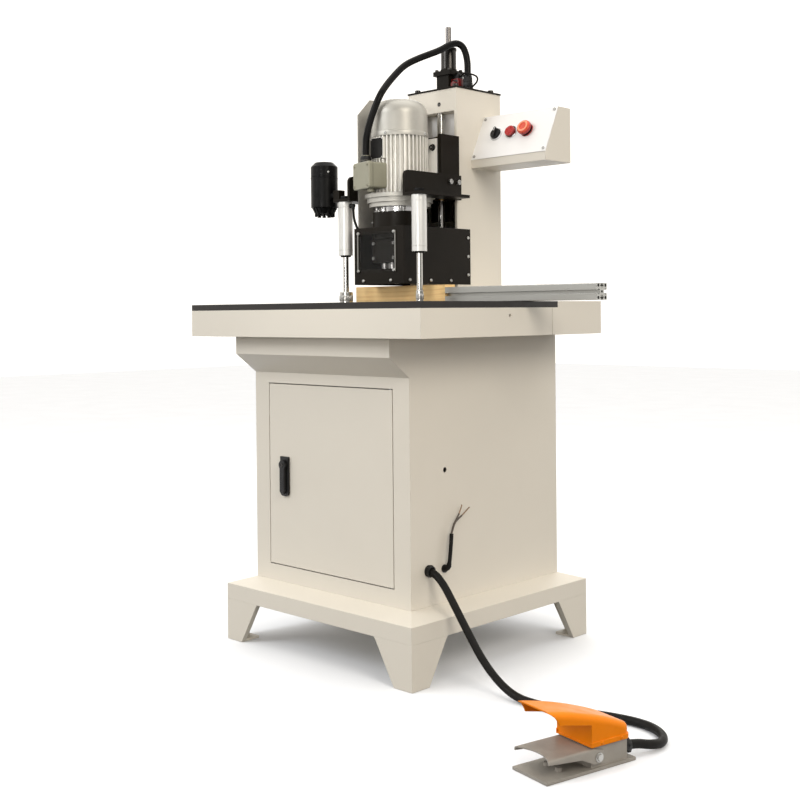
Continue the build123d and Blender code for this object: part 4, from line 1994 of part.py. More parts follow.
motor_conduit.part.label = "motor_conduit"
export_step(motor_conduit.part, "parts/motor_conduit.step")
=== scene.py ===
from math import cos, pi, radians, sin

import bmesh
import bpy
from mathutils import Matrix, Vector


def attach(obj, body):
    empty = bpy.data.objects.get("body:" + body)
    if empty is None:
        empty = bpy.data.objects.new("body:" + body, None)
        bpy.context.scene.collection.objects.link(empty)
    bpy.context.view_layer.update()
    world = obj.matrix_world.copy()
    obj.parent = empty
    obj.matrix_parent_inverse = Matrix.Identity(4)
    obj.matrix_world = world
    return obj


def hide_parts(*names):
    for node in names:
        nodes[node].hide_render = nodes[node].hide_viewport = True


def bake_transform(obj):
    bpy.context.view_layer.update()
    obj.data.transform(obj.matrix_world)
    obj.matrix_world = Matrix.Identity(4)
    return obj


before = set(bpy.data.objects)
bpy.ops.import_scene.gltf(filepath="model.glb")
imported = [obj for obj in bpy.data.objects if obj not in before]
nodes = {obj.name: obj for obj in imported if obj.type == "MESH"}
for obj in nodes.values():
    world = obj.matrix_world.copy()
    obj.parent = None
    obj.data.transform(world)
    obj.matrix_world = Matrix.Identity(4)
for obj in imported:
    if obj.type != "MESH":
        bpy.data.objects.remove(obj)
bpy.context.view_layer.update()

# Pieces are laid out in millimetres, and this many of them make a metre
MM = 1000
RIGHT, LEFT = Vector((1, 0, 0)), Vector((-1, 0, 0))
BACK, FRONT = Vector((0, 1, 0)), Vector((0, -1, 0))
UP, DOWN = Vector((0, 0, 1)), Vector((0, 0, -1))
HANDS = (-1, 1)

# Camera at the photograph's angle, in metres and degrees
CAMERA_PLACE = (2.24585, -2.33242, 0.88875)
CAMERA_FORWARD = (-0.69649, 0.71755, -0.00535)
CAMERA_ROLL = -0.517
CAMERA_SENSOR = 36.0
CAMERA_LENS = 53.06
CAMERA_SHIFT = (-0.0001, -0.10145)
CAMERA_REACH = 100

# Soft studio lights: name, kind, place, target and size in metres, power in watts, colour
LIGHTS = (
    ("key", "AREA", (-1.6, -4.2, 3.4), (0, 0, 0.8), 2.6, 102, (0.965, 0.98, 1.0)),
    ("fill", "AREA", (4.2, -1.5, 3.1), (0, 0, 0.7), 2.4, 96, (1.0, 0.935, 0.84)),
    ("front", "AREA", (1.9, -3.4, 1.1), (0, 0, 1.1), 0.9, 12, (1.0, 0.96, 0.9)),
    ("over", "AREA", (0.4, 0.4, 4.6), (0, 0, 0.8), 3.2, 24, (1.0, 1.0, 1.0)),
    ("back", "AREA", (-2.6, 3.6, 3.0), (0, 0, 1.0), 2.6, 20, (1.0, 1.0, 1.0)),
    ("head", "SPOT", (1.1, -3.5, 1.3), (-0.06, 0, 1.1), 0.3, 105, (1.0, 0.98, 0.95)),
)
SPOT_ANGLE = 12
SPOT_BLEND = 0.9

# Surround: a direction, a range along it, and the strength at each end of the range
SURROUND_COLOUR = (1.0, 0.965, 0.91, 1)
SURROUND_RAMPS = (
    ((0.697, -0.717, 0), -0.2, 0.6, 1.35, 0.5),
    (UP, -0.15, -0.062, 0.16, 1.0),
)
FLOOR_REACH = 14
FLOOR_HEIGHT = -0.0006


def add_object(name, data):
    obj = bpy.data.objects.new(name, data)
    bpy.context.collection.objects.link(obj)
    return obj


def aim_camera():
    forward = Vector(CAMERA_FORWARD).normalized()
    right = forward.cross(UP).normalized()
    up = right.cross(forward)
    roll = radians(CAMERA_ROLL)
    turned_right = right * cos(roll) + up * sin(roll)
    turned_up = up * cos(roll) - right * sin(roll)
    data = bpy.data.cameras.new("camera")
    data.sensor_width = CAMERA_SENSOR
    data.lens = CAMERA_LENS
    data.shift_x, data.shift_y = CAMERA_SHIFT
    data.clip_end = CAMERA_REACH
    camera = add_object("camera", data)
    axes = Matrix((turned_right, turned_up, -forward)).transposed().to_4x4()
    camera.matrix_world = Matrix.Translation(CAMERA_PLACE) @ axes
    bpy.context.scene.camera = camera


def set_lights():
    for name, kind, place, target, size, power, colour in LIGHTS:
        data = bpy.data.lights.new(name, kind)
        data.energy = power
        data.color = colour
        if kind == "AREA":
            data.shape = "DISK"
            data.size = size
        else:
            data.shadow_soft_size = size
            data.spot_size = radians(SPOT_ANGLE)
            data.spot_blend = SPOT_BLEND
        light = add_object(name, data)
        light.location = place
        direction = Vector(target) - Vector(place)
        light.rotation_euler = direction.to_track_quat("-Z", "Y").to_euler()


def fill(node, **values):
    """Sets a node's sockets, named with _ for each space."""
    for name, value in values.items():
        node.inputs[name.replace("_", " ")].default_value = value


def map_range(tree, value, low, high, first, last):
    """Takes a value's range from low to high onto first to last."""
    node = tree.nodes.new("ShaderNodeMapRange")
    fill(node, From_Min=low, From_Max=high, To_Min=first, To_Max=last)
    tree.links.new(value, node.inputs["Value"])
    return node.outputs["Result"]


def combine(tree, kind, operation, *sources):
    """Result of a maths node on sockets or plain values."""
    node = tree.nodes.new(kind)
    node.operation = operation
    for source, target in zip(sources, node.inputs):
        if isinstance(source, bpy.types.NodeSocket):
            tree.links.new(source, target)
        else:
            target.default_value = source
    return node.outputs["Value"]


def set_surround():
    """Warm white surround that is dimmer towards the front right and below the floor's edge."""
    world = bpy.data.worlds.new("studio")
    world.use_nodes = True
    tree = world.node_tree
    shader = tree.nodes["Background"]
    fill(shader, Color=SURROUND_COLOUR)
    direction = tree.nodes.new("ShaderNodeTexCoord").outputs["Generated"]
    ramps = []
    for axis, *ramp in SURROUND_RAMPS:
        along = combine(tree, "ShaderNodeVectorMath", "DOT_PRODUCT", direction, axis)
        ramps.append(map_range(tree, along, *ramp))
    strength = combine(tree, "ShaderNodeMath", "MULTIPLY", *ramps)
    tree.links.new(strength, shader.inputs["Strength"])
    bpy.context.scene.world = world


def lay_floor():
    mesh = bpy.data.meshes.new("floor")
    corners = ((-1, -1), (1, -1), (1, 1), (-1, 1))
    places = [(x * FLOOR_REACH, y * FLOOR_REACH, FLOOR_HEIGHT) for x, y in corners]
    mesh.from_pydata(places, [], [(0, 1, 2, 3)])
    floor = add_object("floor", mesh)
    mesh.materials.append(Surface("floor_pale", (0.93, 0.955, 1.0), 0.75).vary(3.0, 0.02).done())
    floor.visible_diffuse = False


def set_stage():
    aim_camera()
    set_lights()
    set_surround()
    bpy.context.scene.view_settings.view_transform = "Standard"
    lay_floor()


# Procedural materials: sockets of the colour mix node, and the ranges for patches and edges
MIX_SHARE, MIX_FIRST, MIX_SECOND, MIX_RESULT = 0, 6, 7, 2
PATCH_RANGE = (0.3, 0.75)
PATCH_DEPTH = 2.2
GLOSS_RANGE = (0.3, 0.7)
WEAR_RANGE = (0.42, 0.62)
EDGE_COSINES = (0.995, 0.9)
# Occlusion range over which shade is painted into creases
PAINTED_SHADE_RANGE = (0.75, 0.3)
SPECK_RANGE = (0.58, 0.68)


class Surface:
    """One node material: a base colour with additions that vary over the surface."""

    def __init__(self, name, colour, roughness, metallic=0.0):
        self.material = bpy.data.materials.new(name)
        self.material.use_nodes = True
        self.tree = self.material.node_tree
        self.shader = self.tree.nodes["Principled BSDF"]
        fill(self.shader, Base_Color=(*colour, 1), Roughness=roughness, Metallic=metallic)
        self.coordinates = self.add("ShaderNodeTexCoord").outputs["Object"]
        self.colour = None
        self.plain = colour
        self.roughness = roughness
        self.height = None

    def add(self, kind):
        return self.tree.nodes.new(kind)

    def link(self, source, target):
        self.tree.links.new(source, target)

    def stretched(self, scale):
        mapping = self.add("ShaderNodeMapping")
        fill(mapping, Scale=scale)
        self.link(self.coordinates, mapping.inputs["Vector"])
        return mapping.outputs["Vector"]

    def noise(self, scale, detail=3.0, roughness=0.55, stretch=None):
        node = self.add("ShaderNodeTexNoise")
        fill(node, Scale=scale, Detail=detail, Roughness=roughness)
        self.link(self.stretched(stretch) if stretch else self.coordinates, node.inputs["Vector"])
        return node.outputs["Fac"]

    def mapped(self, value, *ranges):
        return map_range(self.tree, value, *ranges)

    def tint(self, share, colour):
        """Mixes a second colour over what the surface has so far."""
        mix = self.add("ShaderNodeMix")
        mix.data_type = "RGBA"
        self.link(share, mix.inputs[MIX_SHARE])
        if self.colour is None:
            mix.inputs[MIX_FIRST].default_value = (*self.plain, 1)
        else:
            self.link(self.colour, mix.inputs[MIX_FIRST])
        mix.inputs[MIX_SECOND].default_value = (*colour, 1)
        self.colour = mix.outputs[MIX_RESULT]
        return self

    def vary(self, scale, amount, stretch=None):
        """Slow light and dark patches."""
        darker = tuple(max(0.0, value * (1 - PATCH_DEPTH * amount)) for value in self.plain)
        patches = self.noise(scale, 4.0, 0.6, stretch)
        return self.tint(self.mapped(patches, *PATCH_RANGE, 0.0, 1.0), darker)

    def gloss(self, scale, spread, stretch=None):
        """Patches that shine a little more or less."""
        low = max(0.02, self.roughness - spread)
        high = min(1.0, self.roughness + spread)
        patches = self.mapped(self.noise(scale, 3.0, 0.6, stretch), *GLOSS_RANGE, low, high)
        self.link(patches, self.shader.inputs["Roughness"])
        return self

    def bump(self, value, distance, strength=1.0):
        node = self.add("ShaderNodeBump")
        fill(node, Strength=strength, Distance=distance)
        self.link(value, node.inputs["Height"])
        if self.height is not None:
            self.link(self.height, node.inputs["Normal"])
        self.height = node.outputs["Normal"]
        return self

    def grain(self, scale, distance, strength=0.4, stretch=None):
        return self.bump(self.noise(scale, 2.0, 0.5, stretch), distance, strength)

    def edges(self, radius, colour=None, share=0.5, scale=60.0):
        """Rounds sharp edges for the light, and wears them towards a second colour."""
        bevel = self.add("ShaderNodeBevel")
        bevel.samples = 4
        fill(bevel, Radius=radius)
        if colour is not None:
            normals = bevel.outputs["Normal"], self.add("ShaderNodeNewGeometry").outputs["Normal"]
            slant = combine(self.tree, "ShaderNodeVectorMath", "DOT_PRODUCT", *normals)
            edge = self.mapped(slant, *EDGE_COSINES, 0.0, share)
            patches = self.mapped(self.noise(scale, 4.0, 0.65), *WEAR_RANGE, 0.0, 1.0)
            self.tint(combine(self.tree, "ShaderNodeMath", "MULTIPLY", edge, patches), colour)
        if self.height is None:
            self.height = bevel.outputs["Normal"]
        return self

    def painted_crease_shade(self, distance, colour, share):
        """Paints shade into what lies deep between ridges."""
        shade = self.add("ShaderNodeAmbientOcclusion")
        shade.samples = 6
        fill(shade, Distance=distance)
        return self.tint(self.mapped(shade.outputs["AO"], *PAINTED_SHADE_RANGE, 0.0, share), colour)

    def specks(self, scale, stretch, colour, share):
        """Small marks of a second colour."""
        marks = self.noise(scale, 2.0, 0.5, stretch)
        return self.tint(self.mapped(marks, *SPECK_RANGE, 0.0, share), colour)

    def set(self, **values):
        """Sets the shader's own sockets."""
        fill(self.shader, **values)
        return self

    def done(self):
        if self.colour is not None:
            self.link(self.colour, self.shader.inputs["Base Color"])
        if self.height is not None:
            self.link(self.height, self.shader.inputs["Normal"])
        return self.material


def make_materials():
    made = {
        "white": Surface("white_paint", (0.745, 0.70, 0.615), 0.42)
        .edges(0.0016, (0.58, 0.54, 0.46), 0.35, 40.0).vary(2.2, 0.02).gloss(14.0, 0.07)
        .grain(700.0, 0.0002, 0.25),
        "panel": Surface("panel_white", (0.86, 0.85, 0.84), 0.36).edges(0.001).vary(9.0, 0.02)
        .gloss(20.0, 0.06).grain(800.0, 0.00015, 0.2),
        "top": Surface("table_dark", (0.014, 0.0115, 0.01), 0.38)
        .edges(0.001, (0.12, 0.105, 0.09), 0.6, 30.0).vary(8.0, 0.12).gloss(26.0, 0.1)
        .set(Specular_IOR_Level=0.3).grain(420.0, 0.00025, 0.3),
        "black": Surface("black_paint", (0.0105, 0.008, 0.0052), 0.38)
        .edges(0.0009, (0.07, 0.066, 0.06), 0.45, 50.0).vary(12.0, 0.14).gloss(30.0, 0.09)
        .set(Specular_IOR_Level=0.1).grain(900.0, 0.0002, 0.3),
        # The motor's fin valleys get painted shade
        "motor": Surface("motor_silver", (0.92, 0.9, 0.84), 0.36, 0.2)
        .edges(0.0012, (0.3, 0.29, 0.27), 0.2, 70.0).vary(18.0, 0.05).gloss(40.0, 0.08)
        .painted_crease_shade(0.012, (0.09, 0.085, 0.075), 0.22).grain(650.0, 0.0003, 0.3),
        "box": Surface("box_grey", (0.31, 0.3, 0.225), 0.42, 0.2)
        .edges(0.0012, (0.26, 0.25, 0.22), 0.2, 70.0).vary(18.0, 0.05).gloss(40.0, 0.08)
        .grain(650.0, 0.0003, 0.3),
        "cover": Surface("cover_silver", (0.5, 0.485, 0.44), 0.42, 0.45)
        .edges(0.0012, (0.36, 0.35, 0.32), 0.2, 70.0).vary(18.0, 0.05).gloss(40.0, 0.05)
        .grain(650.0, 0.0002, 0.2),
        "shield": Surface("shield_grey", (0.5, 0.48, 0.44), 0.42, 0.3)
        .edges(0.0008, (0.5, 0.5, 0.48), 0.5, 50.0).vary(9.0, 0.08).grain(700.0, 0.0002, 0.25),
        "alloy": Surface("drawn_alloy", (0.42, 0.42, 0.4), 0.3, 0.9).edges(0.0006).vary(6.0, 0.015)
        .gloss(60.0, 0.03, (0.15, 3.0, 3.0)).grain(500.0, 0.00005, 0.15, (0.04, 1.0, 1.0)),
        "plate": Surface("milled_alloy", (0.95, 0.93, 0.89), 0.4, 0.1).edges(0.0008).vary(14.0, 0.02)
        .gloss(60.0, 0.03, (3.0, 3.0, 0.2)).grain(420.0, 0.00006, 0.2, (1.0, 1.0, 0.05)),
        "tube": Surface("clamp_alloy", (0.69, 0.685, 0.665), 0.36, 0.5).edges(0.0008).vary(9.0, 0.03)
        .gloss(24.0, 0.04).grain(900.0, 0.00004, 0.15, (1.0, 1.0, 0.2)),
        "chrome": Surface("chrome", (0.78, 0.78, 0.79), 0.1, 1.0).vary(30.0, 0.05)
        .gloss(60.0, 0.05, (1.0, 1.0, 4.0)).grain(600.0, 0.00006, 0.2, (0.4, 0.4, 5.0)),
        "rod": Surface("ground_rod", (0.5, 0.49, 0.47), 0.16, 1.0).vary(30.0, 0.05, (2.0, 2.0, 0.1))
        .gloss(60.0, 0.05, (2.0, 2.0, 0.1)),
        "piston": Surface("feed_rod", (0.17, 0.16, 0.152), 0.24, 1.0).vary(30.0, 0.08, (2.0, 2.0, 0.1))
        .gloss(60.0, 0.06, (2.0, 2.0, 0.1)),
        "steel": Surface("turned_steel", (0.42, 0.415, 0.405), 0.32, 1.0).edges(0.0004).vary(40.0, 0.1)
        .gloss(90.0, 0.1).grain(900.0, 0.0001, 0.3),
        "barrel": Surface("oiled_steel", (0.05, 0.047, 0.044), 0.22, 0.85).edges(0.0006).vary(30.0, 0.2)
        .gloss(60.0, 0.08).grain(700.0, 0.0001, 0.3, (1.0, 1.0, 5.0)),
        "zinc": Surface("zinc_plate", (0.55, 0.55, 0.53), 0.42, 0.9).edges(0.0008).vary(35.0, 0.12)
        .gloss(45.0, 0.1),
        "bronze": Surface("bronze", (0.45, 0.29, 0.11), 0.34, 1.0).vary(60.0, 0.1).gloss(80.0, 0.08),
        "wood": wood_surface(),
        "plastic": Surface("black_plastic", (0.008, 0.0078, 0.008), 0.44).edges(0.0006).vary(40.0, 0.15)
        .gloss(60.0, 0.08).set(Specular_IOR_Level=0.3).grain(1600.0, 0.00012, 0.35),
        "lamp": Surface("lamp_black", (0.005, 0.005, 0.005), 0.34).edges(0.001).vary(30.0, 0.2)
        .gloss(40.0, 0.1).set(Specular_IOR_Level=0.12).grain(1200.0, 0.00015, 0.3),
        "rubber": Surface("black_rubber", (0.0105, 0.0095, 0.0085), 0.5).vary(70.0, 0.2)
        .gloss(90.0, 0.1).set(Specular_IOR_Level=0.14).grain(1100.0, 0.0002, 0.5),
        "conduit": Surface("conduit_black", (0.006, 0.0056, 0.0053), 0.34).vary(50.0, 0.2)
        .gloss(70.0, 0.08).set(Specular_IOR_Level=0.12).grain(1000.0, 0.00012, 0.3),
        "orange": Surface("orange_coat", (0.87, 0.235, 0.001), 0.36)
        .edges(0.0016, (0.9, 0.42, 0.08), 0.5, 60.0).vary(24.0, 0.05).gloss(30.0, 0.08)
        .set(Specular_IOR_Level=0.12).grain(520.0, 0.0003, 0.3),
        "cast": Surface("cast_grey", (0.33, 0.305, 0.27), 0.5, 0.15)
        .edges(0.0014, (0.48, 0.455, 0.42), 0.5, 80.0).vary(22.0, 0.08).gloss(40.0, 0.1)
        .grain(420.0, 0.0006, 0.5),
        "window": Surface("window_sheet", (0.02, 0.022, 0.022), 0.07)
        .set(IOR=1.49, Specular_IOR_Level=0.8, Alpha=0.09).gloss(8.0, 0.04).grain(30.0, 0.0001, 0.1),
        "lens": Surface("lamp_glass", (0.9, 0.9, 0.87), 0.2).set(Transmission_Weight=0.9, IOR=1.5)
        .gloss(40.0, 0.05).grain(600.0, 0.0002, 0.3),
        # Black with light specks: painted shade of the dark gap between the terminal box and fan cover,
        # on the rating plate's face
        "speckled_shade": Surface("painted_shade_black", (0.012, 0.0115, 0.011), 0.4)
        .specks(420.0, (1.0, 1.0, 2.2), (0.16, 0.15, 0.135), 0.3).set(Specular_IOR_Level=0.15)
        .gloss(60.0, 0.08),
        "copper": Surface("bare_copper", (0.3, 0.2, 0.13), 0.4, 0.7).vary(200.0, 0.1),
        "sleeve": Surface("core_sleeve", (0.1, 0.08, 0.062), 0.45).vary(120.0, 0.12),
        # Light grey and barely metal: a painted reflection for the white that the selector's chrome
        # ring mirrors
        "painted_reflection": Surface("chrome_ring_painted_reflection", (0.85, 0.85, 0.86), 0.22, 0.3).vary(60.0, 0.05)
        .gloss(60.0, 0.06),
        "edge": Surface("sheet_edge", (0.4, 0.4, 0.38), 0.3).vary(60.0, 0.12).gloss(40.0, 0.08),
        "grey": Surface("block_grey", (0.2, 0.205, 0.21), 0.5).edges(0.0008).vary(30.0, 0.1)
        .grain(900.0, 0.0002, 0.3),
    }
    # The pale red is a painted sheen for the stop button's rim
    for name, colour in (("red", (0.42, 0.012, 0.012)), ("stop", (0.74, 0.06, 0.015)),
                         ("pale", (0.95, 0.36, 0.19)), ("valve", (0.2, 0.008, 0.008))):
        red = Surface(f"{name}_plastic", colour, 0.28).edges(0.0008).vary(60.0, 0.08).gloss(70.0, 0.06)
        made[name] = red.set(Coat_Weight=0.25, Coat_Roughness=0.12).grain(1400.0, 0.00008, 0.2)
    return {look: surface.done() for look, surface in made.items()}


def wood_surface():
    wood = Surface("raw_wood", (1.0, 0.69, 0.31), 0.6)
    wood.edges(0.0012, (0.5, 0.32, 0.15), 0.6, 40.0)
    rings = wood.add("ShaderNodeTexWave")
    rings.wave_type = "BANDS"
    rings.bands_direction = "Z"
    fill(rings, Scale=22.0, Distortion=9.0, Detail=4.0, Detail_Scale=1.4)
    wood.link(wood.stretched((0.08, 1.0, 1.0)), rings.inputs["Vector"])
    wood.tint(wood.mapped(rings.outputs["Fac"], 0.45, 0.95, 0.0, 0.6), (0.8, 0.48, 0.2))
    fibres = wood.noise(240.0, 5.0, 0.7, (0.03, 1.0, 1.0))
    wood.tint(wood.mapped(fibres, 0.52, 0.72, 0.0, 0.45), (0.62, 0.34, 0.13))
    return wood.vary(14.0, 0.1).bump(fibres, 0.0005, 0.5)


# The look of each CAD node
NODE_LOOKS = {
    "white": ("feet", "base_plinth", "cabinet_shell", "cabinet_door", "table_frame", "table_deck",
              "column", "control_box"),
    "panel": ("control_panel",),
    "top": ("table_top",),
    "black": ("column_cap", "feed_block", "guard_shell", "clamp_brackets", "clamp_arm_left",
              "clamp_arm_right", "carriage", "gearbox_adapter", "gearbox_housing", "lamp_bracket"),
    "motor": ("motor_housing",),
    "box": ("terminal_box",),
    "cover": ("fan_cover", "motor_flange"),
    "shield": ("side_shield",),
    "cast": ("pedal_base", "pedal_treadle"),
    "orange": ("pedal_hood",),
    "alloy": ("fence_rail",),
    "plate": ("motor_saddle",),
    "tube": ("clamp_cylinders",),
    "rod": ("guide_rods", "clamp_rod_left", "clamp_rod_right"),
    "piston": ("feed_piston",),
    "steel": ("machine_bolts", "head_screws", "door_pivots", "motor_rotor", "centre_spindle",
              "outer_spindle_left", "outer_spindle_right"),
    "barrel": ("feed_barrel",),
    "zinc": ("electrics_panel",),
    "bronze": ("guide_bushes",),
    "wood": ("backing_block",),
    "plastic": ("latch_plate", "latch_lever", "switch_bodies", "selector_knob", "cable_glands"),
    "lamp": ("lamp_housing",),
    "red": ("push_button",),
    "stop": ("emergency_stop",),
    "valve": ("feed_valve",),
    "rubber": ("pedal_hose", "mains_lead"),
    "conduit": ("motor_conduit",),
    "window": ("guard_window",),
    "lens": ("lamp_lens",),
}


def dress_nodes():
    for look, names in NODE_LOOKS.items():
        for name in names:
            mesh = nodes[name].data
            mesh.materials.clear()
            mesh.materials.append(looks[look])


# Pieces
def dressed(name, mesh, look):
    mesh.materials.append(looks[look])
    return add_object(name, mesh)


def piece(name, mesh, body, look):
    obj = dressed(name, mesh, look)
    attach(obj, body)
    return obj


def skin(bm, loops):
    """Faces between neighbouring loops of points."""
    for low, high in zip(loops, loops[1:]):
        for number in range(len(low)):
            after = (number + 1) % len(low)
            bm.faces.new((low[number], low[after], high[after], high[number]))


def closed_skin(bm, loops):
    """Skin with a face over each end."""
    skin(bm, loops)
    bm.faces.new(list(reversed(loops[0])))
    bm.faces.new(loops[-1])


def spline_line(route):
    """Points in metres of a smooth line that has the route as its control points."""
    data = bpy.data.curves.new("route", "CURVE")
    data.dimensions = "3D"
    line = data.splines.new("NURBS")
    line.points.add(len(route) - 1)
    for point, place in zip(line.points, route):
        point.co = (*[value / MM for value in place], 1.0)
    line.order_u = 3
    line.use_endpoint_u = True
    line.resolution_u = 20
    obj = add_object("route", data)
    bpy.context.view_layer.update()
    mesh = bpy.data.meshes.new_from_object(obj)
    points = [vertex.co.copy() for vertex in mesh.vertices]
    bpy.data.meshes.remove(mesh)
    bpy.data.objects.remove(obj)
    bpy.data.curves.remove(data)
    return points


def line_length(points):
    return sum((b - a).length for a, b in zip(points, points[1:]))


def at_steps(points, step):
    """Places along a line at even steps, for ribs."""
    runs = [after - before for before, after in zip(points, points[1:])]
    total = line_length(points)
    count = max(2, round(total / step))
    places = []
    index = 0
    walked = 0.0
    for number in range(count + 1):
        goal = total * number / count
        while index < len(runs) - 1 and walked + runs[index].length < goal:
            walked += runs[index].length
            index += 1
        length = runs[index].length
        share = min(1.0, (goal - walked) / length) if length else 0.0
        places.append(points[index] + runs[index] * share)
    return places


def tube_mesh(name, points, radii, sides=20):
    """Round tube with its own radius at each point, closed at both ends, in metres."""
    bm = bmesh.new()
    angles = [2 * pi * number / sides for number in range(sides)]
    rings = []
    side = None
    for index, (place, radius) in enumerate(zip(points, radii)):
        before = points[max(0, index - 1)]
        after = points[min(len(points) - 1, index + 1)]
        along = (after - before).normalized()
        if side is None:
            side = along.orthogonal().normalized()
        else:
            side = (side - along * side.dot(along)).normalized()
        other = along.cross(side)
        rings.append([bm.verts.new(place + (side * cos(angle) + other * sin(angle)) * radius)
                      for angle in angles])
    closed_skin(bm, rings)
    for face in bm.faces:
        face.smooth = len(face.verts) == 4
    mesh = bpy.data.meshes.new(name)
    bm.to_mesh(mesh)
    bm.free()
    return mesh


def tube(name, points, radii, body, look, sides=20):
    return piece(name, tube_mesh(name, points, radii, sides), body, look)


# Cords along the routes of the CAD tubes, in millimetres
HOSE_ROUTE = (
    (283, -227, 258), (306, -227, 258), (338, -227, 236), (374, -228, 190), (418, -228, 130),
    (466, -229, 70), (518, -229, 28), (572, -234, 9.9), (636, -236, 9.9), (695, -224, 9.9),
    (749, -206, 9.9), (800, -190, 9.9), (850, -182, 9.9), (895, -187, 9.9), (934, -211, 9.9),
    (957, -246, 9.9), (957, -283, 14), (934.41, -324.88, 24), (926.74, -360.05, 24),
)
MAINS_ROUTE = (
    (283, -170, 255), (305, -170, 255), (308, -168, 277), (308, -165, 299), (306, -160, 320),
    (305, -157, 341),
)
CORE_ROUTES = (
    ((305, -157.5, 339), (305.8, -150, 360), (305.8, -139, 372), (305, -112, 383.5), (305, -89, 398)),
    ((304, -158, 339), (303.8, -149, 361), (303.8, -137, 374), (304.4, -124, 391), (305, -117.5, 408)),
)
CONDUIT_ROUTE = (
    (-38.18, -106.76, 1313), (-38.18, -106.76, 1335), (-33, -109, 1368), (-13, -107, 1420),
    (5, -96, 1470), (0, -66, 1502), (-1, -28, 1538), (1, 8, 1569), (13, 45, 1589), (27, 83, 1606),
    (36, 113, 1619), (47, 143, 1638), (55, 165, 1645), (61, 183, 1637), (64, 193, 1615),
    (66, 196, 1592), (68, 194, 1573.5), (68, 194, 1557.5),
)
WIRE_ROUTE = (
    (51, 188, 1557), (62, 180, 1562), (80, 180, 1558), (98, 190, 1552), (104, 196, 1544),
    (100, 196, 1532), (88, 192, 1522), (86, 186, 1516),
)
AIR_ROUTE = (
    (-108.5, -88, 1175), (-108.5, -87.5, 1162), (-107, -86, 1144), (-103, -80, 1124),
    (-101, -75, 1112), (-101, -74, 1104),
)

# Radii, grooves and the steps between them, in metres
HOSE_RADIUS, HOSE_GROOVE, HOSE_STEP = 0.0095, 0.00035, 0.0021
CONDUIT_RADIUS, CONDUIT_GROOVE, CONDUIT_STEP = 0.0095, 0.0003, 0.003
JACKET_RADIUS = 0.005
SLEEVE_RADIUS = 0.0022
STRAND_RADIUS = 0.0016
WIRE_DIAMETER = 0.005
AIR_DIAMETER = 0.007


def grooved(points, radius, groove):
    """Radii of a tube with a shallow groove at every second point."""
    return [radius - (groove if number % 2 else 0.0) for number in range(len(points))]


def make_cords():
    points = at_steps(spline_line(HOSE_ROUTE), HOSE_STEP)
    radii = grooved(points, HOSE_RADIUS, HOSE_GROOVE)
    hose = tube("hose_cover", points, radii, "stand", "rubber")
    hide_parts("pedal_hose")

    points = spline_line(MAINS_ROUTE)
    radii = [JACKET_RADIUS] * len(points)
    jacket = tube("mains_jacket", points, radii, "stand", "rubber")
    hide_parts("mains_lead")
    for number, route in enumerate(CORE_ROUTES):
        line = spline_line(route)
        cut = len(line) * 3 // 4
        tube(f"mains_core_{number}", line[:cut], [SLEEVE_RADIUS] * cut,
                          "stand", "sleeve", 12)
        bare = line[cut - 1:]
        tube(f"mains_wire_{number}", bare, [STRAND_RADIUS] * len(bare),
                          "stand", "copper", 10)

    points = at_steps(spline_line(CONDUIT_ROUTE), CONDUIT_STEP)
    mesh = tube_mesh("conduit_cover", points, grooved(points, CONDUIT_RADIUS, CONDUIT_GROOVE))
    conduit = dressed("conduit_cover", mesh, "conduit")
    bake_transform(conduit)
    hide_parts("motor_conduit")


def fixed_tube(name, route, diameter):
    """Short wire or air tube, held at both ends."""
    points = spline_line(route)
    obj = tube(name, points, [diameter / 2] * len(points), "stand", "rubber", 12)


# Small turned and bevelled forms
SHARP_ANGLE = 34


def ring(bm, place, direction, height, reaches, offset=0.0):
    """Loop of points round an axis; reaches are their distances from it at even angles."""
    axis = Vector(direction).normalized()
    side = axis.orthogonal().normalized()
    other = axis.cross(side)
    centre = Vector(place) + axis * height
    made = []
    for number, reach in enumerate(reaches):
        angle = 2 * pi * (number + offset) / len(reaches)
        spot = centre + (side * cos(angle) + other * sin(angle)) * reach
        made.append(bm.verts.new(spot / MM))
    return made


def turned(bm, rings, place, direction, sides):
    """Loops from rings of radius and height, and the number of flats where a ring isn't round."""
    made = []
    for radius, height, *flats in rings:
        reaches = [radius] * sides
        if flats:
            part = pi / flats[0]
            angles = [2 * pi * number / sides for number in range(sides)]
            reaches = [radius * (cos(part) / cos((angle + part) % (2 * part) - part))
                       for angle in angles]
        made.append(ring(bm, place, direction, height, reaches))
    return made


def lathe(bm, rings, place, direction, sides=24):
    """Turned form that is closed at both ends."""
    closed_skin(bm, turned(bm, rings, place, direction, sides))


def collar(bm, rings, place, direction, sides=32):
    """Turned ring; the last profile point joins the first."""
    made = turned(bm, rings, place, direction, sides)
    skin(bm, made + made[:1])


def toothed(bm, place, direction, sections, count):
    """Ring of teeth along an axis; a section is a height, a root radius and a tip radius."""
    made = []
    for height, root, tip in sections:
        reaches = [tip, tip, root, root] * count
        made.append(ring(bm, place, direction, height, reaches, 0.5))
    closed_skin(bm, made)


def block(bm, centre, size, across=RIGHT, upward=UP, bevel=0.0):
    """Box with rounded edges; across and upward are its first and third directions."""
    first = Vector(across).normalized()
    third = Vector(upward).normalized()
    second = third.cross(first)
    axes = Matrix((first, second, third)).transposed()
    made = bmesh.ops.create_cube(bm, size=1.0)["verts"]
    for vertex in made:
        local = Vector([value * length for value, length in zip(vertex.co, size)])
        vertex.co = (Vector(centre) + axes @ local) / MM
    if bevel:
        edges = list(dict.fromkeys(edge for vertex in made for edge in vertex.link_edges))
        bmesh.ops.bevel(bm, geom=edges, offset=bevel / MM, segments=3, profile=0.5, affect="EDGES")


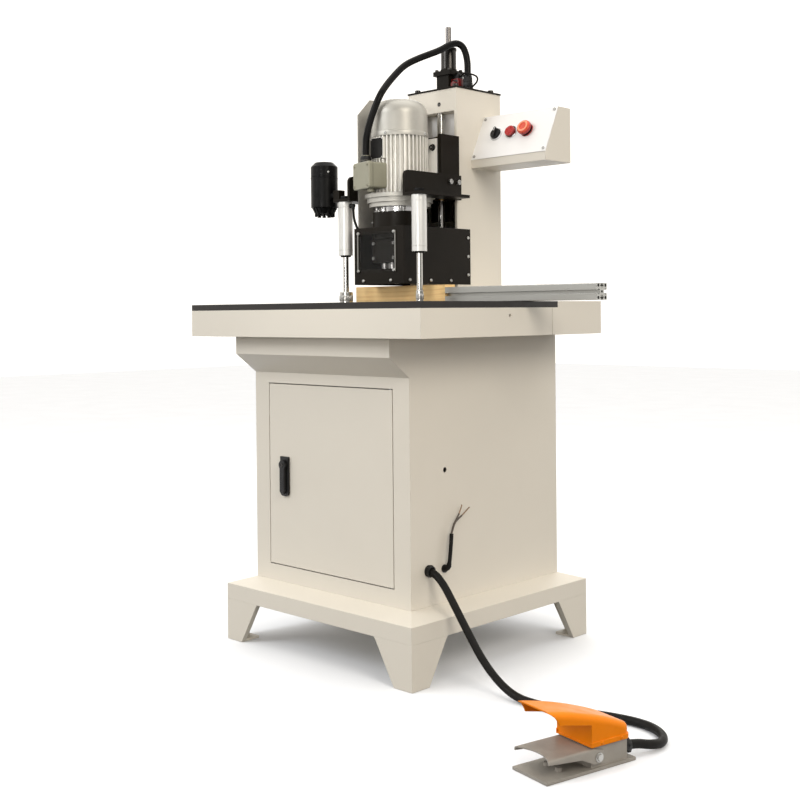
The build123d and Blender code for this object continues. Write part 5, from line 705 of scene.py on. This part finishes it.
def slab(bm, centre, across, upward, width, height, depth, radius, bevel=0.3):
    """Flat plate with rounded corners that faces along across x upward."""
    first = Vector(across).normalized()
    third = Vector(upward).normalized()
    out = first.cross(third)
    loops = []
    for inset, level in ((0.0, 0.0), (0.0, depth - bevel), (bevel, depth)):
        loop = []
        for turn, (sx, sy) in enumerate(((1, 1), (-1, 1), (-1, -1), (1, -1))):
            for step in range(6):
                angle = pi / 2 * (turn + step / 5)
                x = sx * (width / 2 - radius) + cos(angle) * (radius - inset)
                y = sy * (height / 2 - radius) + sin(angle) * (radius - inset)
                loop.append(bm.verts.new((Vector(centre) + first * x + third * y + out * level) / MM))
        loops.append(loop)
    closed_skin(bm, loops)


def heads(bm, profile, places, sides=24):
    """One screw head at each place, which is a point and a direction."""
    for place, direction in places:
        lathe(bm, profile, place, direction, sides)


def shaped(name, body, look, slot, shape, *values):
    """Piece whose mesh a form makes from its values."""
    bm = bmesh.new()
    shape(bm, *values)
    bmesh.ops.recalc_face_normals(bm, faces=bm.faces)
    mesh = bpy.data.meshes.new(name)
    bm.to_mesh(mesh)
    bm.free()
    mesh.shade_smooth()
    mesh.set_sharp_from_angle(angle=radians(SHARP_ANGLE))
    return piece(name, mesh, body, look)


def screw_heads(name, body, look, profile, places):
    shaped(name, body, look, "steel", heads, profile, places)


def button_head(radius, height, socket):
    return [(radius, 0), (radius, 0.3 * height), (0.86 * radius, 0.75 * height),
            (0.62 * radius, height), (socket, height, 6), (socket, 0.3 * height, 6)]


def socket_head(radius, height, socket):
    return [(radius, 0), (radius, height - 0.8), (radius - 0.8, height),
            (socket, height, 6), (socket, 0.45 * height, 6)]


def hexagon(radius, height):
    return [(0.86 * radius, 0), (radius, 0.12 * height, 6), (radius, 0.88 * height, 6),
            (0.86 * radius, height)]


def washer(radius, hole, height):
    return [(radius, 0), (radius, height), (hole, height), (hole, 0)]


def bearing(degrees):
    """Level direction at an angle from the right."""
    return Vector((cos(radians(degrees)), sin(radians(degrees)), 0))


# Screw and bolt heads, the panel in the column's slot and the window's edges
WINDOW_FACE = -103
WINDOW_MIDDLE = (-101.8, 1053)
WINDOW_EDGE = (1.6, 3.2, 109.4)
GUARD_FACE = -100
GUARD_SIDE = 93
GUARD_HEM = 975
GUARD_SIDE_SCREWS = (
    *((y, GUARD_HEM) for y in (-76, 6, 87)),
    *((160, z) for z in (992, 1043, 1095)),
)
GUARD_SCREWS = (
    [((x, WINDOW_FACE, z), FRONT) for x in (-74, 61) for z in (1002, 1104)]
    + [((x, GUARD_FACE, GUARD_HEM), FRONT) for x in (-58, 46)]
    + [((hand * GUARD_SIDE, *place), (hand, 0, 0)) for hand in HANDS for place in GUARD_SIDE_SCREWS]
)
CAP_TOP = 1514.5
CAP_SCREWS = [((x, y, CAP_TOP), UP) for x in (-72, 72) for y in (137, 289)]
ARM_SCREWS = [((x, y, 1244), (hand, 0, 0)) for x, hand in ((108, 1), (-111, -1)) for y in (70, 103)]
SADDLE_SCREWS = [((x, 44, z), FRONT) for x in (-69, 69) for z in (1235, 1338.5)]
GEAR_CASE_BOLTS = [((x, -78.5, z), FRONT) for x in (-38, 38) for z in (1036, 1076)]
SET_SCREW = [(5.8, 0), (5.8, 0.5), (5.2, 1.0), (2.6, 1.0, 6), (2.6, -0.6, 6)]
SET_SCREW_PLACE = (27, 118, 1470)
SLOT_PANEL_MIDDLE = (0, 151.9, 1414)
SLOT_PANEL_SIZE = (164, 63, 1.2)

# Control panel: its lower left corner on the box, its directions and the controls on it
PANEL_ORIGIN = Vector((91, 180, 1313))
PANEL_UP = Vector((0, 0.4268, 0.9043))
PANEL_OUT = Vector((0, -0.9043, 0.4268))
PANEL_SHEET = 2
CONTROL_ROW = 74
SELECTOR_X = 67
BUTTON_X = 120
STOP_X = 174
STOP_GRIP = 12.2
STOP_TOP = 24.9


def on_panel(x, y, out):
    """Place on the control panel, from its lower left corner and this far off the box."""
    return PANEL_ORIGIN + Vector((x, 0, 0)) + PANEL_UP * y + PANEL_OUT * out


def make_fasteners():
    def saddle(bm):
        for place, direction in SADDLE_SCREWS:
            lathe(bm, socket_head(7.1, 8.0, 3.6), place, direction)
            collar(bm, washer(9.6, 7.3, 0.6), place, direction)

    def window_edges(bm):
        for x in (-77.4, 64.4):
            block(bm, (x, *WINDOW_MIDDLE), WINDOW_EDGE, bevel=0.3)

    panel_screws = [(on_panel(x, y, PANEL_SHEET), PANEL_OUT) for x in (9, 249.5) for y in (9, 129.2)]
    screw_heads("guard_screw_heads", "stand", "zinc", button_head(4.6, 3.4, 1.7), GUARD_SCREWS)
    screw_heads("panel_screw_heads", "stand", "zinc", button_head(3.6, 2.6, 1.4), panel_screws)
    screw_heads("cap_screw_heads", "stand", "barrel", socket_head(8.2, 10.0, 3.8), CAP_SCREWS)
    screw_heads("arm_screw_heads", "stand", "steel", socket_head(7.0, 7.0, 3.4), ARM_SCREWS)
    shaped("saddle_screw_heads", "head", "barrel", "steel", saddle)
    shaped("column_set_screw", "stand", "barrel", "steel", lathe, SET_SCREW, SET_SCREW_PLACE, FRONT)
    shaped("slot_panel", "stand", "panel", "white_paint",
           slab, SLOT_PANEL_MIDDLE, RIGHT, UP, *SLOT_PANEL_SIZE, 1.0)
    screw_heads("gear_case_bolts", "head", "steel", socket_head(4.6, 5.0, 2.2), GEAR_CASE_BOLTS)
    shaped("window_edges", "stand", "edge", "window", window_edges)


# Rings and marks of the three controls
BEZEL = [(19.6, 0), (19.6, 2.0), (18.4, 4.3), (16.6, 4.3), (16.2, 3.4), (16.2, 0)]
LOW_BEZEL = [(19.6, 0), (19.6, 1.2), (18.6, 2.2), (16.4, 2.2), (16.2, 1.8), (16.2, 0)]
STOP_TEETH = ((0, 20.1, 20.7), (6.5, 20.1, 20.7))
# Pale ring on the stop button's rounded top: a painted sheen where the glossy rim catches the light
STOP_SHEEN_RING = [(11.4, -0.3), (11.4, 0.5), (12.0, 0.9), (15.6, 0.9), (16.4, 0.2), (16.4, -0.9)]


def make_controls():
    for name, look, slot, profile, x in (
        # The selector's ring takes a painted reflection in place of chrome
        ("selector_ring", "painted_reflection", "chrome", BEZEL, SELECTOR_X),
        ("button_ring", "chrome", "chrome", BEZEL, BUTTON_X),
        ("stop_ring", "red", "red_plastic", LOW_BEZEL, STOP_X),
    ):
        place = on_panel(x, CONTROL_ROW, PANEL_SHEET)
        shaped(name, "stand", look, slot, collar, profile, place, PANEL_OUT, 40)
    shaped("selector_mark", "selector", "panel", "white_paint",
           block, on_panel(SELECTOR_X, 83, 18.1), (1.8, 10, 0.5), RIGHT, PANEL_OUT, 0.2)
    shaped("stop_grip", "stop", "red", "red_plastic",
           toothed, on_panel(STOP_X, CONTROL_ROW, STOP_GRIP), PANEL_OUT, STOP_TEETH, 18)
    shaped("stop_painted_sheen_ring", "stop", "pale", "red_plastic",
           collar, STOP_SHEEN_RING, on_panel(STOP_X, CONTROL_ROW, STOP_TOP), PANEL_OUT, 48)


# Rating plate with a black face of painted shade, terminal lid, gland and fan cover trim round the
# motor's axis
MOTOR_AXIS = Vector((0, -14.5, 0))
LID_OUT = Vector((-0.2588, -0.9659, 0))
LID_ACROSS = Vector((0.9659, -0.2588, 0))
LID_MIDDLE = 1256.5
LID_SEAM = 108.8
LID_FACE = 122
PAD_OUT = Vector((-0.10453, -0.99452, 0))
PAD_ACROSS = Vector((0.99452, -0.10453, 0))
PAD_MIDDLE = MOTOR_AXIS + PAD_OUT * 80 + UP * 1331.5
PLATE_RIVET = [(1.8, 0), (1.7, 0.6), (0.9, 1.1)]
TERMINAL_GLAND = Vector((-38.18, -106.76, 1291))
GLAND_NOSE = [(13.6, 17), (13.4, 20), (11.6, 23.6), (9.9, 24.2)]
COVER_RIM = MOTOR_AXIS + UP * 1364.2
COVER_BEAD = [(77.0, 0), (78.2, 0.5), (78.4, 1.2), (78.4, 12.6), (78.0, 13.4), (77.0, 14.0)]
COVER_SCREW_RING = (78.2, 1371)
REGISTER = [(57.0, 1161.2), (60.0, 1161.2), (60.0, 1174.2), (57.0, 1174.2)]
ADAPTER_SCREW = (215, 74.6, 1136)


def make_motor_details():
    def round_axis(turn, reach, z):
        out = bearing(turn)
        return MOTOR_AXIS + out * reach + UP * z, out

    def off_axis(reach, across, z):
        return MOTOR_AXIS + LID_OUT * reach + LID_ACROSS * across + UP * z

    def on_pad(out, across, z):
        return PAD_MIDDLE + PAD_OUT * out + PAD_ACROSS * across + UP * z

    def plate_edge(bm):
        slab(bm, on_pad(0, 0, 0), PAD_ACROSS, UP, 52.5, 55.5, 0.7, 2.0)
        for across in (-23, 23):
            for z in (-24.5, 24.5):
                lathe(bm, PLATE_RIVET, on_pad(1.0, across, z), PAD_OUT, 12)

    def gland(bm):
        lathe(bm, hexagon(16.2, 8.5), TERMINAL_GLAND, UP, 48)
        toothed(bm, TERMINAL_GLAND, UP, ((9.5, 13.6, 14.3), (17.5, 13.6, 14.3)), 16)
        lathe(bm, GLAND_NOSE, TERMINAL_GLAND, UP, 32)

    lid_screws = [(off_axis(LID_FACE, x, z), LID_OUT) for x in (-36, 36) for z in (1229, 1284)]
    cover_screws = [round_axis(turn, *COVER_SCREW_RING) for turn in (-75, 15, 105, 195)]
    shaped("rating_plate_edge", "head", "plate", "aluminium", plate_edge)
    # The plate's black speckled face is painted shade of the gap between terminal box and fan cover
    shaped("rating_plate_painted_shade", "head", "speckled_shade", "black_plastic",
           slab, on_pad(0.6, 0, 0), PAD_ACROSS, UP, 51.3, 54.3, 0.5, 1.6, 0.15)
    screw_heads("terminal_lid_screws", "head", "box", button_head(3.8, 2.6, 1.5), lid_screws)
    shaped("terminal_gasket", "head", "rubber", "black_rubber",
           slab, off_axis(LID_SEAM, 0, LID_MIDDLE), LID_ACROSS, UP, 87.0, 71.0, 1.4, 7.0)
    shaped("terminal_gland_nut", "head", "plastic", "black_plastic", gland)
    shaped("fan_cover_bead", "head", "cover", "motor_grey", collar, COVER_BEAD, COVER_RIM, UP, 96)
    screw_heads("fan_cover_screws", "head", "zinc", button_head(4.2, 2.8, 1.7), cover_screws)
    shaped("adapter_register", "head", "chrome", "chrome", collar, REGISTER, MOTOR_AXIS, UP, 96)
    adapter_screw = [round_axis(*ADAPTER_SCREW)]
    screw_heads("adapter_side_screw", "head", "steel", socket_head(4.4, 3.6, 2.1), adapter_screw)


# Feed cylinder, valve plug and the gland on the cap
FEED_AXIS = (0, 190, 0)
FLANGE_SCREWS = [((x, y, 1574), UP) for x in (-24, 24) for y in (166, 214)]
FOOT_BAND = [(22.0, 1575), (23.4, 1575), (23.4, 1581), (22.0, 1582)]
TOP_BAND = [(22.0, 1633), (23.0, 1633.5), (23.0, 1641), (22.0, 1641.8)]
FEED_NUT = [(14.5, 1642, 6), (14.5, 1649, 6), (12.8, 1650.5), (8.5, 1650.5), (8.5, 1642)]
PLUG_BLOCKS = (((36, 190, 1556), (18, 22, 15), 2.0), ((36, 180.5, 1541), (20, 10, 10), 1.5))
PLUG_STUDS = (
    ([(4.2, 0), (4.2, 4.0), (3.2, 5.0)], (36, 190, 1563), UP),
    ([(3.4, 0), (3.4, 5.5), (2.6, 6.5)], (44.8, 188, 1557), RIGHT),
)
CAP_GLAND = (68, 194, CAP_TOP)
CAP_GLAND_NECK = (68, 194, 1522)
CAP_GLAND_NOSE = [(12.4, 34), (12.2, 38), (10.6, 42), (9.9, 43.5)]


def make_feed_details():
    def bands(bm):
        for band in (FOOT_BAND, TOP_BAND):
            collar(bm, band, FEED_AXIS, UP, 48)

    def plug(bm):
        for profile, place, direction in PLUG_STUDS:
            lathe(bm, profile, place, direction)
        for middle, size, bevel in PLUG_BLOCKS:
            block(bm, middle, size, bevel=bevel)

    def gland(bm):
        lathe(bm, hexagon(17.0, 6.0), CAP_GLAND, UP, 48)
        lathe(bm, hexagon(15.4, 13.0), CAP_GLAND_NECK, UP, 48)
        toothed(bm, CAP_GLAND, UP, ((22, 12.4, 13.1), (34, 12.4, 13.1)), 16)
        lathe(bm, CAP_GLAND_NOSE, CAP_GLAND, UP, 32)

    screw_heads("feed_flange_screws", "stand", "barrel", socket_head(5.2, 6.0, 2.5), FLANGE_SCREWS)
    shaped("feed_barrel_bands", "stand", "black", "black_paint", bands)
    shaped("feed_rod_nut", "stand", "steel", "steel", collar, FEED_NUT, FEED_AXIS, UP, 48)
    shaped("valve_plug", "stand", "plastic", "black_plastic", plug)
    shaped("cap_gland_nut", "stand", "plastic", "black_plastic", gland)
    fixed_tube("valve_wire", WIRE_ROUTE, WIRE_DIAMETER)


# Clamp cylinders with their feet, and the air fittings on the left
CLAMP_X = (-140, 140)
CLAMP_Y = -88
CLAMP_SEAMS = (1062, 1180)
CLAMP_TOP = 1203.8
WIPER = [(13.5, 1043.5), (14.5, 1045), (14.5, 1048), (8.6, 1048), (8.6, 1043.5)]
CLAMP_FEET = (("left_clamp", -140, 18.5, 44), ("right_clamp", 140, 10.0, 26))
UPPER_FITTING = (-120.4, CLAMP_Y, 1184)
UPPER_ELBOW = (-108.5, CLAMP_Y, 1184)
LOWER_FITTING = (-93, -74, 1098)
LOWER_ELBOW = (-101, -74, 1098)
UPPER_BARREL = [(4.8, 5), (4.8, 9), (5.2, 9.4), (5.2, 15.5), (4.4, 16.4)]


def make_clamp_details():
    def seams(bm):
        for x in CLAMP_X:
            for z in CLAMP_SEAMS:
                lip = [(20.0, z), (20.5, z + 0.5), (20.5, z + 2.1), (20.0, z + 2.6)]
                collar(bm, lip, (x, CLAMP_Y, 0), UP, 48)

    def wipers(bm):
        for x in CLAMP_X:
            collar(bm, WIPER, (x, CLAMP_Y, 0), UP, 40)

    def fittings(bm):
        lathe(bm, hexagon(6.6, 5.0), UPPER_FITTING, RIGHT, 36)
        lathe(bm, UPPER_BARREL, UPPER_FITTING, RIGHT)
        lathe(bm, [(4.6, 0), (4.6, 9), (3.9, 10.2)], UPPER_ELBOW, DOWN)
        lathe(bm, hexagon(6.0, 4.0), LOWER_FITTING, LEFT, 36)
        lathe(bm, [(4.4, 4), (4.4, 11.5), (3.8, 12.4)], LOWER_FITTING, LEFT)
        lathe(bm, [(4.4, -4.2), (4.4, 7), (3.7, 8.2)], LOWER_ELBOW, UP)

    top_nuts = [((x, CLAMP_Y, CLAMP_TOP), UP) for x in CLAMP_X]
    shaped("clamp_seams", "stand", "tube", "aluminium", seams)
    shaped("clamp_top_nuts", "stand", "lamp", "black_paint", heads, hexagon(14.4, 8.8), top_nuts, 48)
    shaped("clamp_rod_wipers", "stand", "black", "black_paint", wipers)
    shaped("air_fittings", "stand", "plastic", "black_plastic", fittings)
    fixed_tube("air_tube", AIR_ROUTE, AIR_DIAMETER)
    for body, x, radius, count in CLAMP_FEET:
        low = radius - 0.3
        root = radius - 0.1
        tip = radius + 0.6
        sections = ((922, low, radius), (923, root, tip), (937, root, tip), (938, low, radius))
        shaped(f"{body}_knurl", body, "steel", "steel", toothed, (x, CLAMP_Y, 0), UP, sections, count)


# Lamp: ribs and teeth round the lower rim, a ring inside it, seam band, end cap screw and side screw
LAMP_AXIS = Vector((-226, -88, 0))
LAMP_BAND = [(37.6, 1267.4), (38.6, 1267.9), (38.6, 1270.4), (37.6, 1270.9)]
LAMP_END_SCREW = [(9, 1312.6), (9, 1314.5), (7.5, 1315.6), (3, 1315.6, 6), (3, 1314, 6)]
LAMP_RIM_RING = [(20.8, 1167.6), (24.2, 1167.6), (24.2, 1169.4), (20.8, 1169.4)]
LAMP_SCREW_OUT = Vector((0.904, -0.427, 0))
LAMP_SCREWS = [(LAMP_AXIS + LAMP_SCREW_OUT * 37.8 + UP * 1284, LAMP_SCREW_OUT)]
RIB_COUNT = 16
RIB_SIZE = (5.4, 17.5, 2.8)
TOOTH_COUNT = 11
TOOTH_SIZE = (7.4, 4.6, 11.0)


def make_lamp_details():
    def ribs(bm):
        for number in range(RIB_COUNT):
            out = bearing(360 / RIB_COUNT * number)
            slope = (out * 9 + UP * 18).normalized()
            facing = (out * 18 - UP * 9).normalized()
            centre = LAMP_AXIS + out * 28.5 + UP * 1177 + facing * 0.9
            block(bm, centre, RIB_SIZE, slope.cross(facing), facing, 0.7)

    def teeth(bm):
        for number in range(TOOTH_COUNT):
            out = bearing(360 / TOOTH_COUNT * (number + 0.3))
            centre = LAMP_AXIS + out * 25.4 + UP * 1166.5
            block(bm, centre, TOOTH_SIZE, (-out.y, out.x, 0), bevel=1.0)

    def band(bm):
        collar(bm, LAMP_BAND, LAMP_AXIS, UP, 64)
        lathe(bm, LAMP_END_SCREW, LAMP_AXIS, UP)

    for name, shape in (("lamp_ribs", ribs), ("lamp_teeth", teeth), ("lamp_band", band)):
        shaped(name, "lamp", "lamp", "black_plastic", shape)
    shaped("lamp_rim_ring", "lamp", "barrel", "steel", collar, LAMP_RIM_RING, LAMP_AXIS, UP, 48)
    screw_heads("lamp_side_screw", "lamp", "zinc", button_head(3.0, 2.0, 1.2), LAMP_SCREWS)


# Latch, cabinet glands and the electrics behind the door
LATCH_X = -168
LATCH_CAP = [(6.5, 0), (6.5, 1.2), (5.6, 2.0), (2.4, 2.0, 6), (2.4, 0.9, 6)]
HOSE_NUT = [(15.2, 0, 6), (15.2, 6.5, 6), (13.2, 8), (10.0, 8), (10.0, 0)]
HOSE_NUT_PLACE = (295, -227, 258)
CONTACTOR_X = (-56.25, 56.25)
CONTACTOR_Z = 553.3
CONTACTOR_FACE = 210.2
STRIP_Z = 416
STRIP_FACE = 243.2
STRIP_PITCH = 14.5

# Strain relief on the mains lead, in metres
RELIEF_STEP = 0.0013
RELIEF_START = 0.291
RELIEF_RINGS = 21
RELIEF_RADIUS = 0.009
RELIEF_TAPER = 0.00018
RELIEF_GROOVE = 0.0005


def make_cabinet_details():
    def grip(bm):
        for number in range(6):
            block(bm, (LATCH_X, -304.4, 424 + 6 * number), (13, 1.4, 2.6), bevel=0.5)

    def covers(bm):
        for x in CONTACTOR_X:
            block(bm, (x, 249.3, CONTACTOR_Z), (76, 78.6, 91), bevel=2.0)
            block(bm, (x, 209.5, CONTACTOR_Z), (46, 4, 40), bevel=1.0)

    def screws(bm):
        for x in CONTACTOR_X:
            for step in (-24, 0, 24):
                for z in (518, 588):
                    lathe(bm, button_head(5.0, 2.4, 2.0), (x + step, CONTACTOR_FACE, z), FRONT)
        for number in range(12):
            place = (-79.75 + STRIP_PITCH * number, STRIP_FACE, STRIP_Z)
            lathe(bm, button_head(3.4, 2.0, 1.4), place, FRONT)

    def strip(bm):
        block(bm, (0, 266, STRIP_Z), (181, 45.6, 37), bevel=1.0)
        for number in range(13):
            block(bm, (-87 + STRIP_PITCH * number, 242.6, STRIP_Z), (1.6, 4, 34), bevel=0.3)

    shaped("latch_cap", "latch", "barrel", "steel", lathe, LATCH_CAP, (LATCH_X, -304.1, 485), FRONT, 36)
    shaped("latch_grip", "latch", "plastic", "black_plastic", grip)
    shaped("hose_gland_nut", "stand", "plastic", "black_plastic",
           collar, HOSE_NUT, HOSE_NUT_PLACE, RIGHT, 48)
    line = at_steps(spline_line(MAINS_ROUTE), RELIEF_STEP)
    first = next(number for number, place in enumerate(line) if place.x > RELIEF_START)
    line = line[first:first + RELIEF_RINGS]
    radii = [RELIEF_RADIUS - RELIEF_TAPER * number - (RELIEF_GROOVE if number % 4 in (2, 3) else 0.0)
             for number in range(len(line))]
    tube("mains_strain_relief", line, radii, "stand", "rubber")
    shaped("contactor_covers", "stand", "grey", "black_plastic", covers)
    shaped("contactor_screws", "stand", "zinc", "steel", screws)
    shaped("terminal_strip_blocks", "stand", "panel", "white_paint", strip)


# Cutter wings and the spirals of the dowel bits
CUTTER_Y = -44.5
DOWEL_Y = -50.5
DOWEL_X = (("left_spindle", -24), ("right_spindle", 24))
SPIRAL_FOOT = 970
SPIRAL_RADIUS = 3.6
SPIRAL_TURN = 0.42
SPIRAL_RISE = 0.9
SPIRAL_STEPS = 40
SPIRAL_WIRE = 0.0009


def make_tool_details():
    def wings(bm):
        for hand in HANDS:
            block(bm, (hand * 12.0, CUTTER_Y, 968.2), (12.6, 2.4, 3.2), bevel=0.3)
            block(bm, (hand * 17.0, CUTTER_Y, 971.0), (2.6, 3.0, 5.6), bevel=0.3)

    shaped("cutter_wings", "middle_spindle", "chrome", "steel", wings)
    for body, x in DOWEL_X:
        for number in range(2):
            points = []
            for step in range(SPIRAL_STEPS):
                angle = step * SPIRAL_TURN + pi * number
                east = x + SPIRAL_RADIUS * cos(angle)
                north = DOWEL_Y + SPIRAL_RADIUS * sin(angle)
                points.append(Vector((east, north, SPIRAL_FOOT + step * SPIRAL_RISE)) / MM)
            radii = [SPIRAL_WIRE] * SPIRAL_STEPS
            tube(f"{body}_spiral_{number}", points, radii, body, "chrome", 8)


# Pedal: hose nut, pivot heads and hood screws, placed across and along the pedal
PEDAL_ORIGIN = Vector((880, -443, 0))
PEDAL_ACROSS = Vector((0.97705, -0.21303, 0))
PEDAL_ALONG = Vector((0.21303, 0.97705, 0))
PEDAL_NUT = [(16.5, 0, 6), (16.5, 7, 6), (14, 8.5), (10.0, 8.5), (10.0, 0)]


def on_pedal(x, y, z):
    return PEDAL_ORIGIN + PEDAL_ACROSS * x + PEDAL_ALONG * y + UP * z


def make_pedal_details():
    def pivot_heads(bm):
        for hand in HANDS:
            place = on_pedal(hand * 51.5, 16, 26)
            collar(bm, washer(9.5, 6.2, 1.2), place, PEDAL_ACROSS * hand, 32)
            lathe(bm, hexagon(7.2, 4.2), place, PEDAL_ACROSS * hand, 48)

    hood_screws = [(on_pedal(hand * 52.6, y, 52.5), PEDAL_ACROSS * hand)
                   for hand in HANDS for y in (22, 74)]
    shaped("pedal_hose_nut", "stand", "plastic", "black_plastic",
           collar, PEDAL_NUT, on_pedal(28, 105, 24), PEDAL_ALONG, 48)
    shaped("pedal_pivot_heads", "stand", "zinc", "steel", pivot_heads)
    shaped("hood_screws", "stand", "orange", "pedal_orange",
           heads, button_head(3.6, 2.2, 1.4), hood_screws)


# Access covers on the back: name, place and height of the middle, width and height
BACK_COVERS = (
    ("column_back_cover", 308, 1212, 140, 470),
    ("cabinet_back_cover", 294, 480, 440, 470),
)
COVER_SHEET = 1.8
COVER_CORNER = 5.0
COVER_SCREW_INSET = 12
COVER_SCREW_ROWS = (-0.5, 0.0, 0.5)
LOUVRE_ROWS = 6
LOUVRE_SIZE = (110, 7, 7)


def make_back_covers():
    def louvres(bm):
        for hand in HANDS:
            for row in range(LOUVRE_ROWS):
                place = (hand * 90, 296.4, 560 + 20 * row)
                block(bm, place, LOUVRE_SIZE, upward=(0, 0.55, 1), bevel=2.2)

    screws = []
    for name, y, z, width, height in BACK_COVERS:
        shaped(name, "stand", "white", "white_paint",
               slab, (0, y, z), LEFT, UP, width, height, COVER_SHEET, COVER_CORNER, 0.5)
        for hand in HANDS:
            for row in COVER_SCREW_ROWS:
                rise = (height - 2 * COVER_SCREW_INSET) * row
                screws.append(((hand * (width / 2 - COVER_SCREW_INSET), y + 1.6, z + rise), BACK))
    shaped("cabinet_back_louvres", "stand", "white", "white_paint", louvres)
    screw_heads("back_cover_screws", "stand", "zinc", button_head(4.4, 3.0, 1.6), screws)


set_stage()
looks = make_materials()
dress_nodes()
make_cords()
make_fasteners()
make_controls()
make_motor_details()
make_feed_details()
make_clamp_details()
make_lamp_details()
make_cabinet_details()
make_tool_details()
make_pedal_details()
make_back_covers()
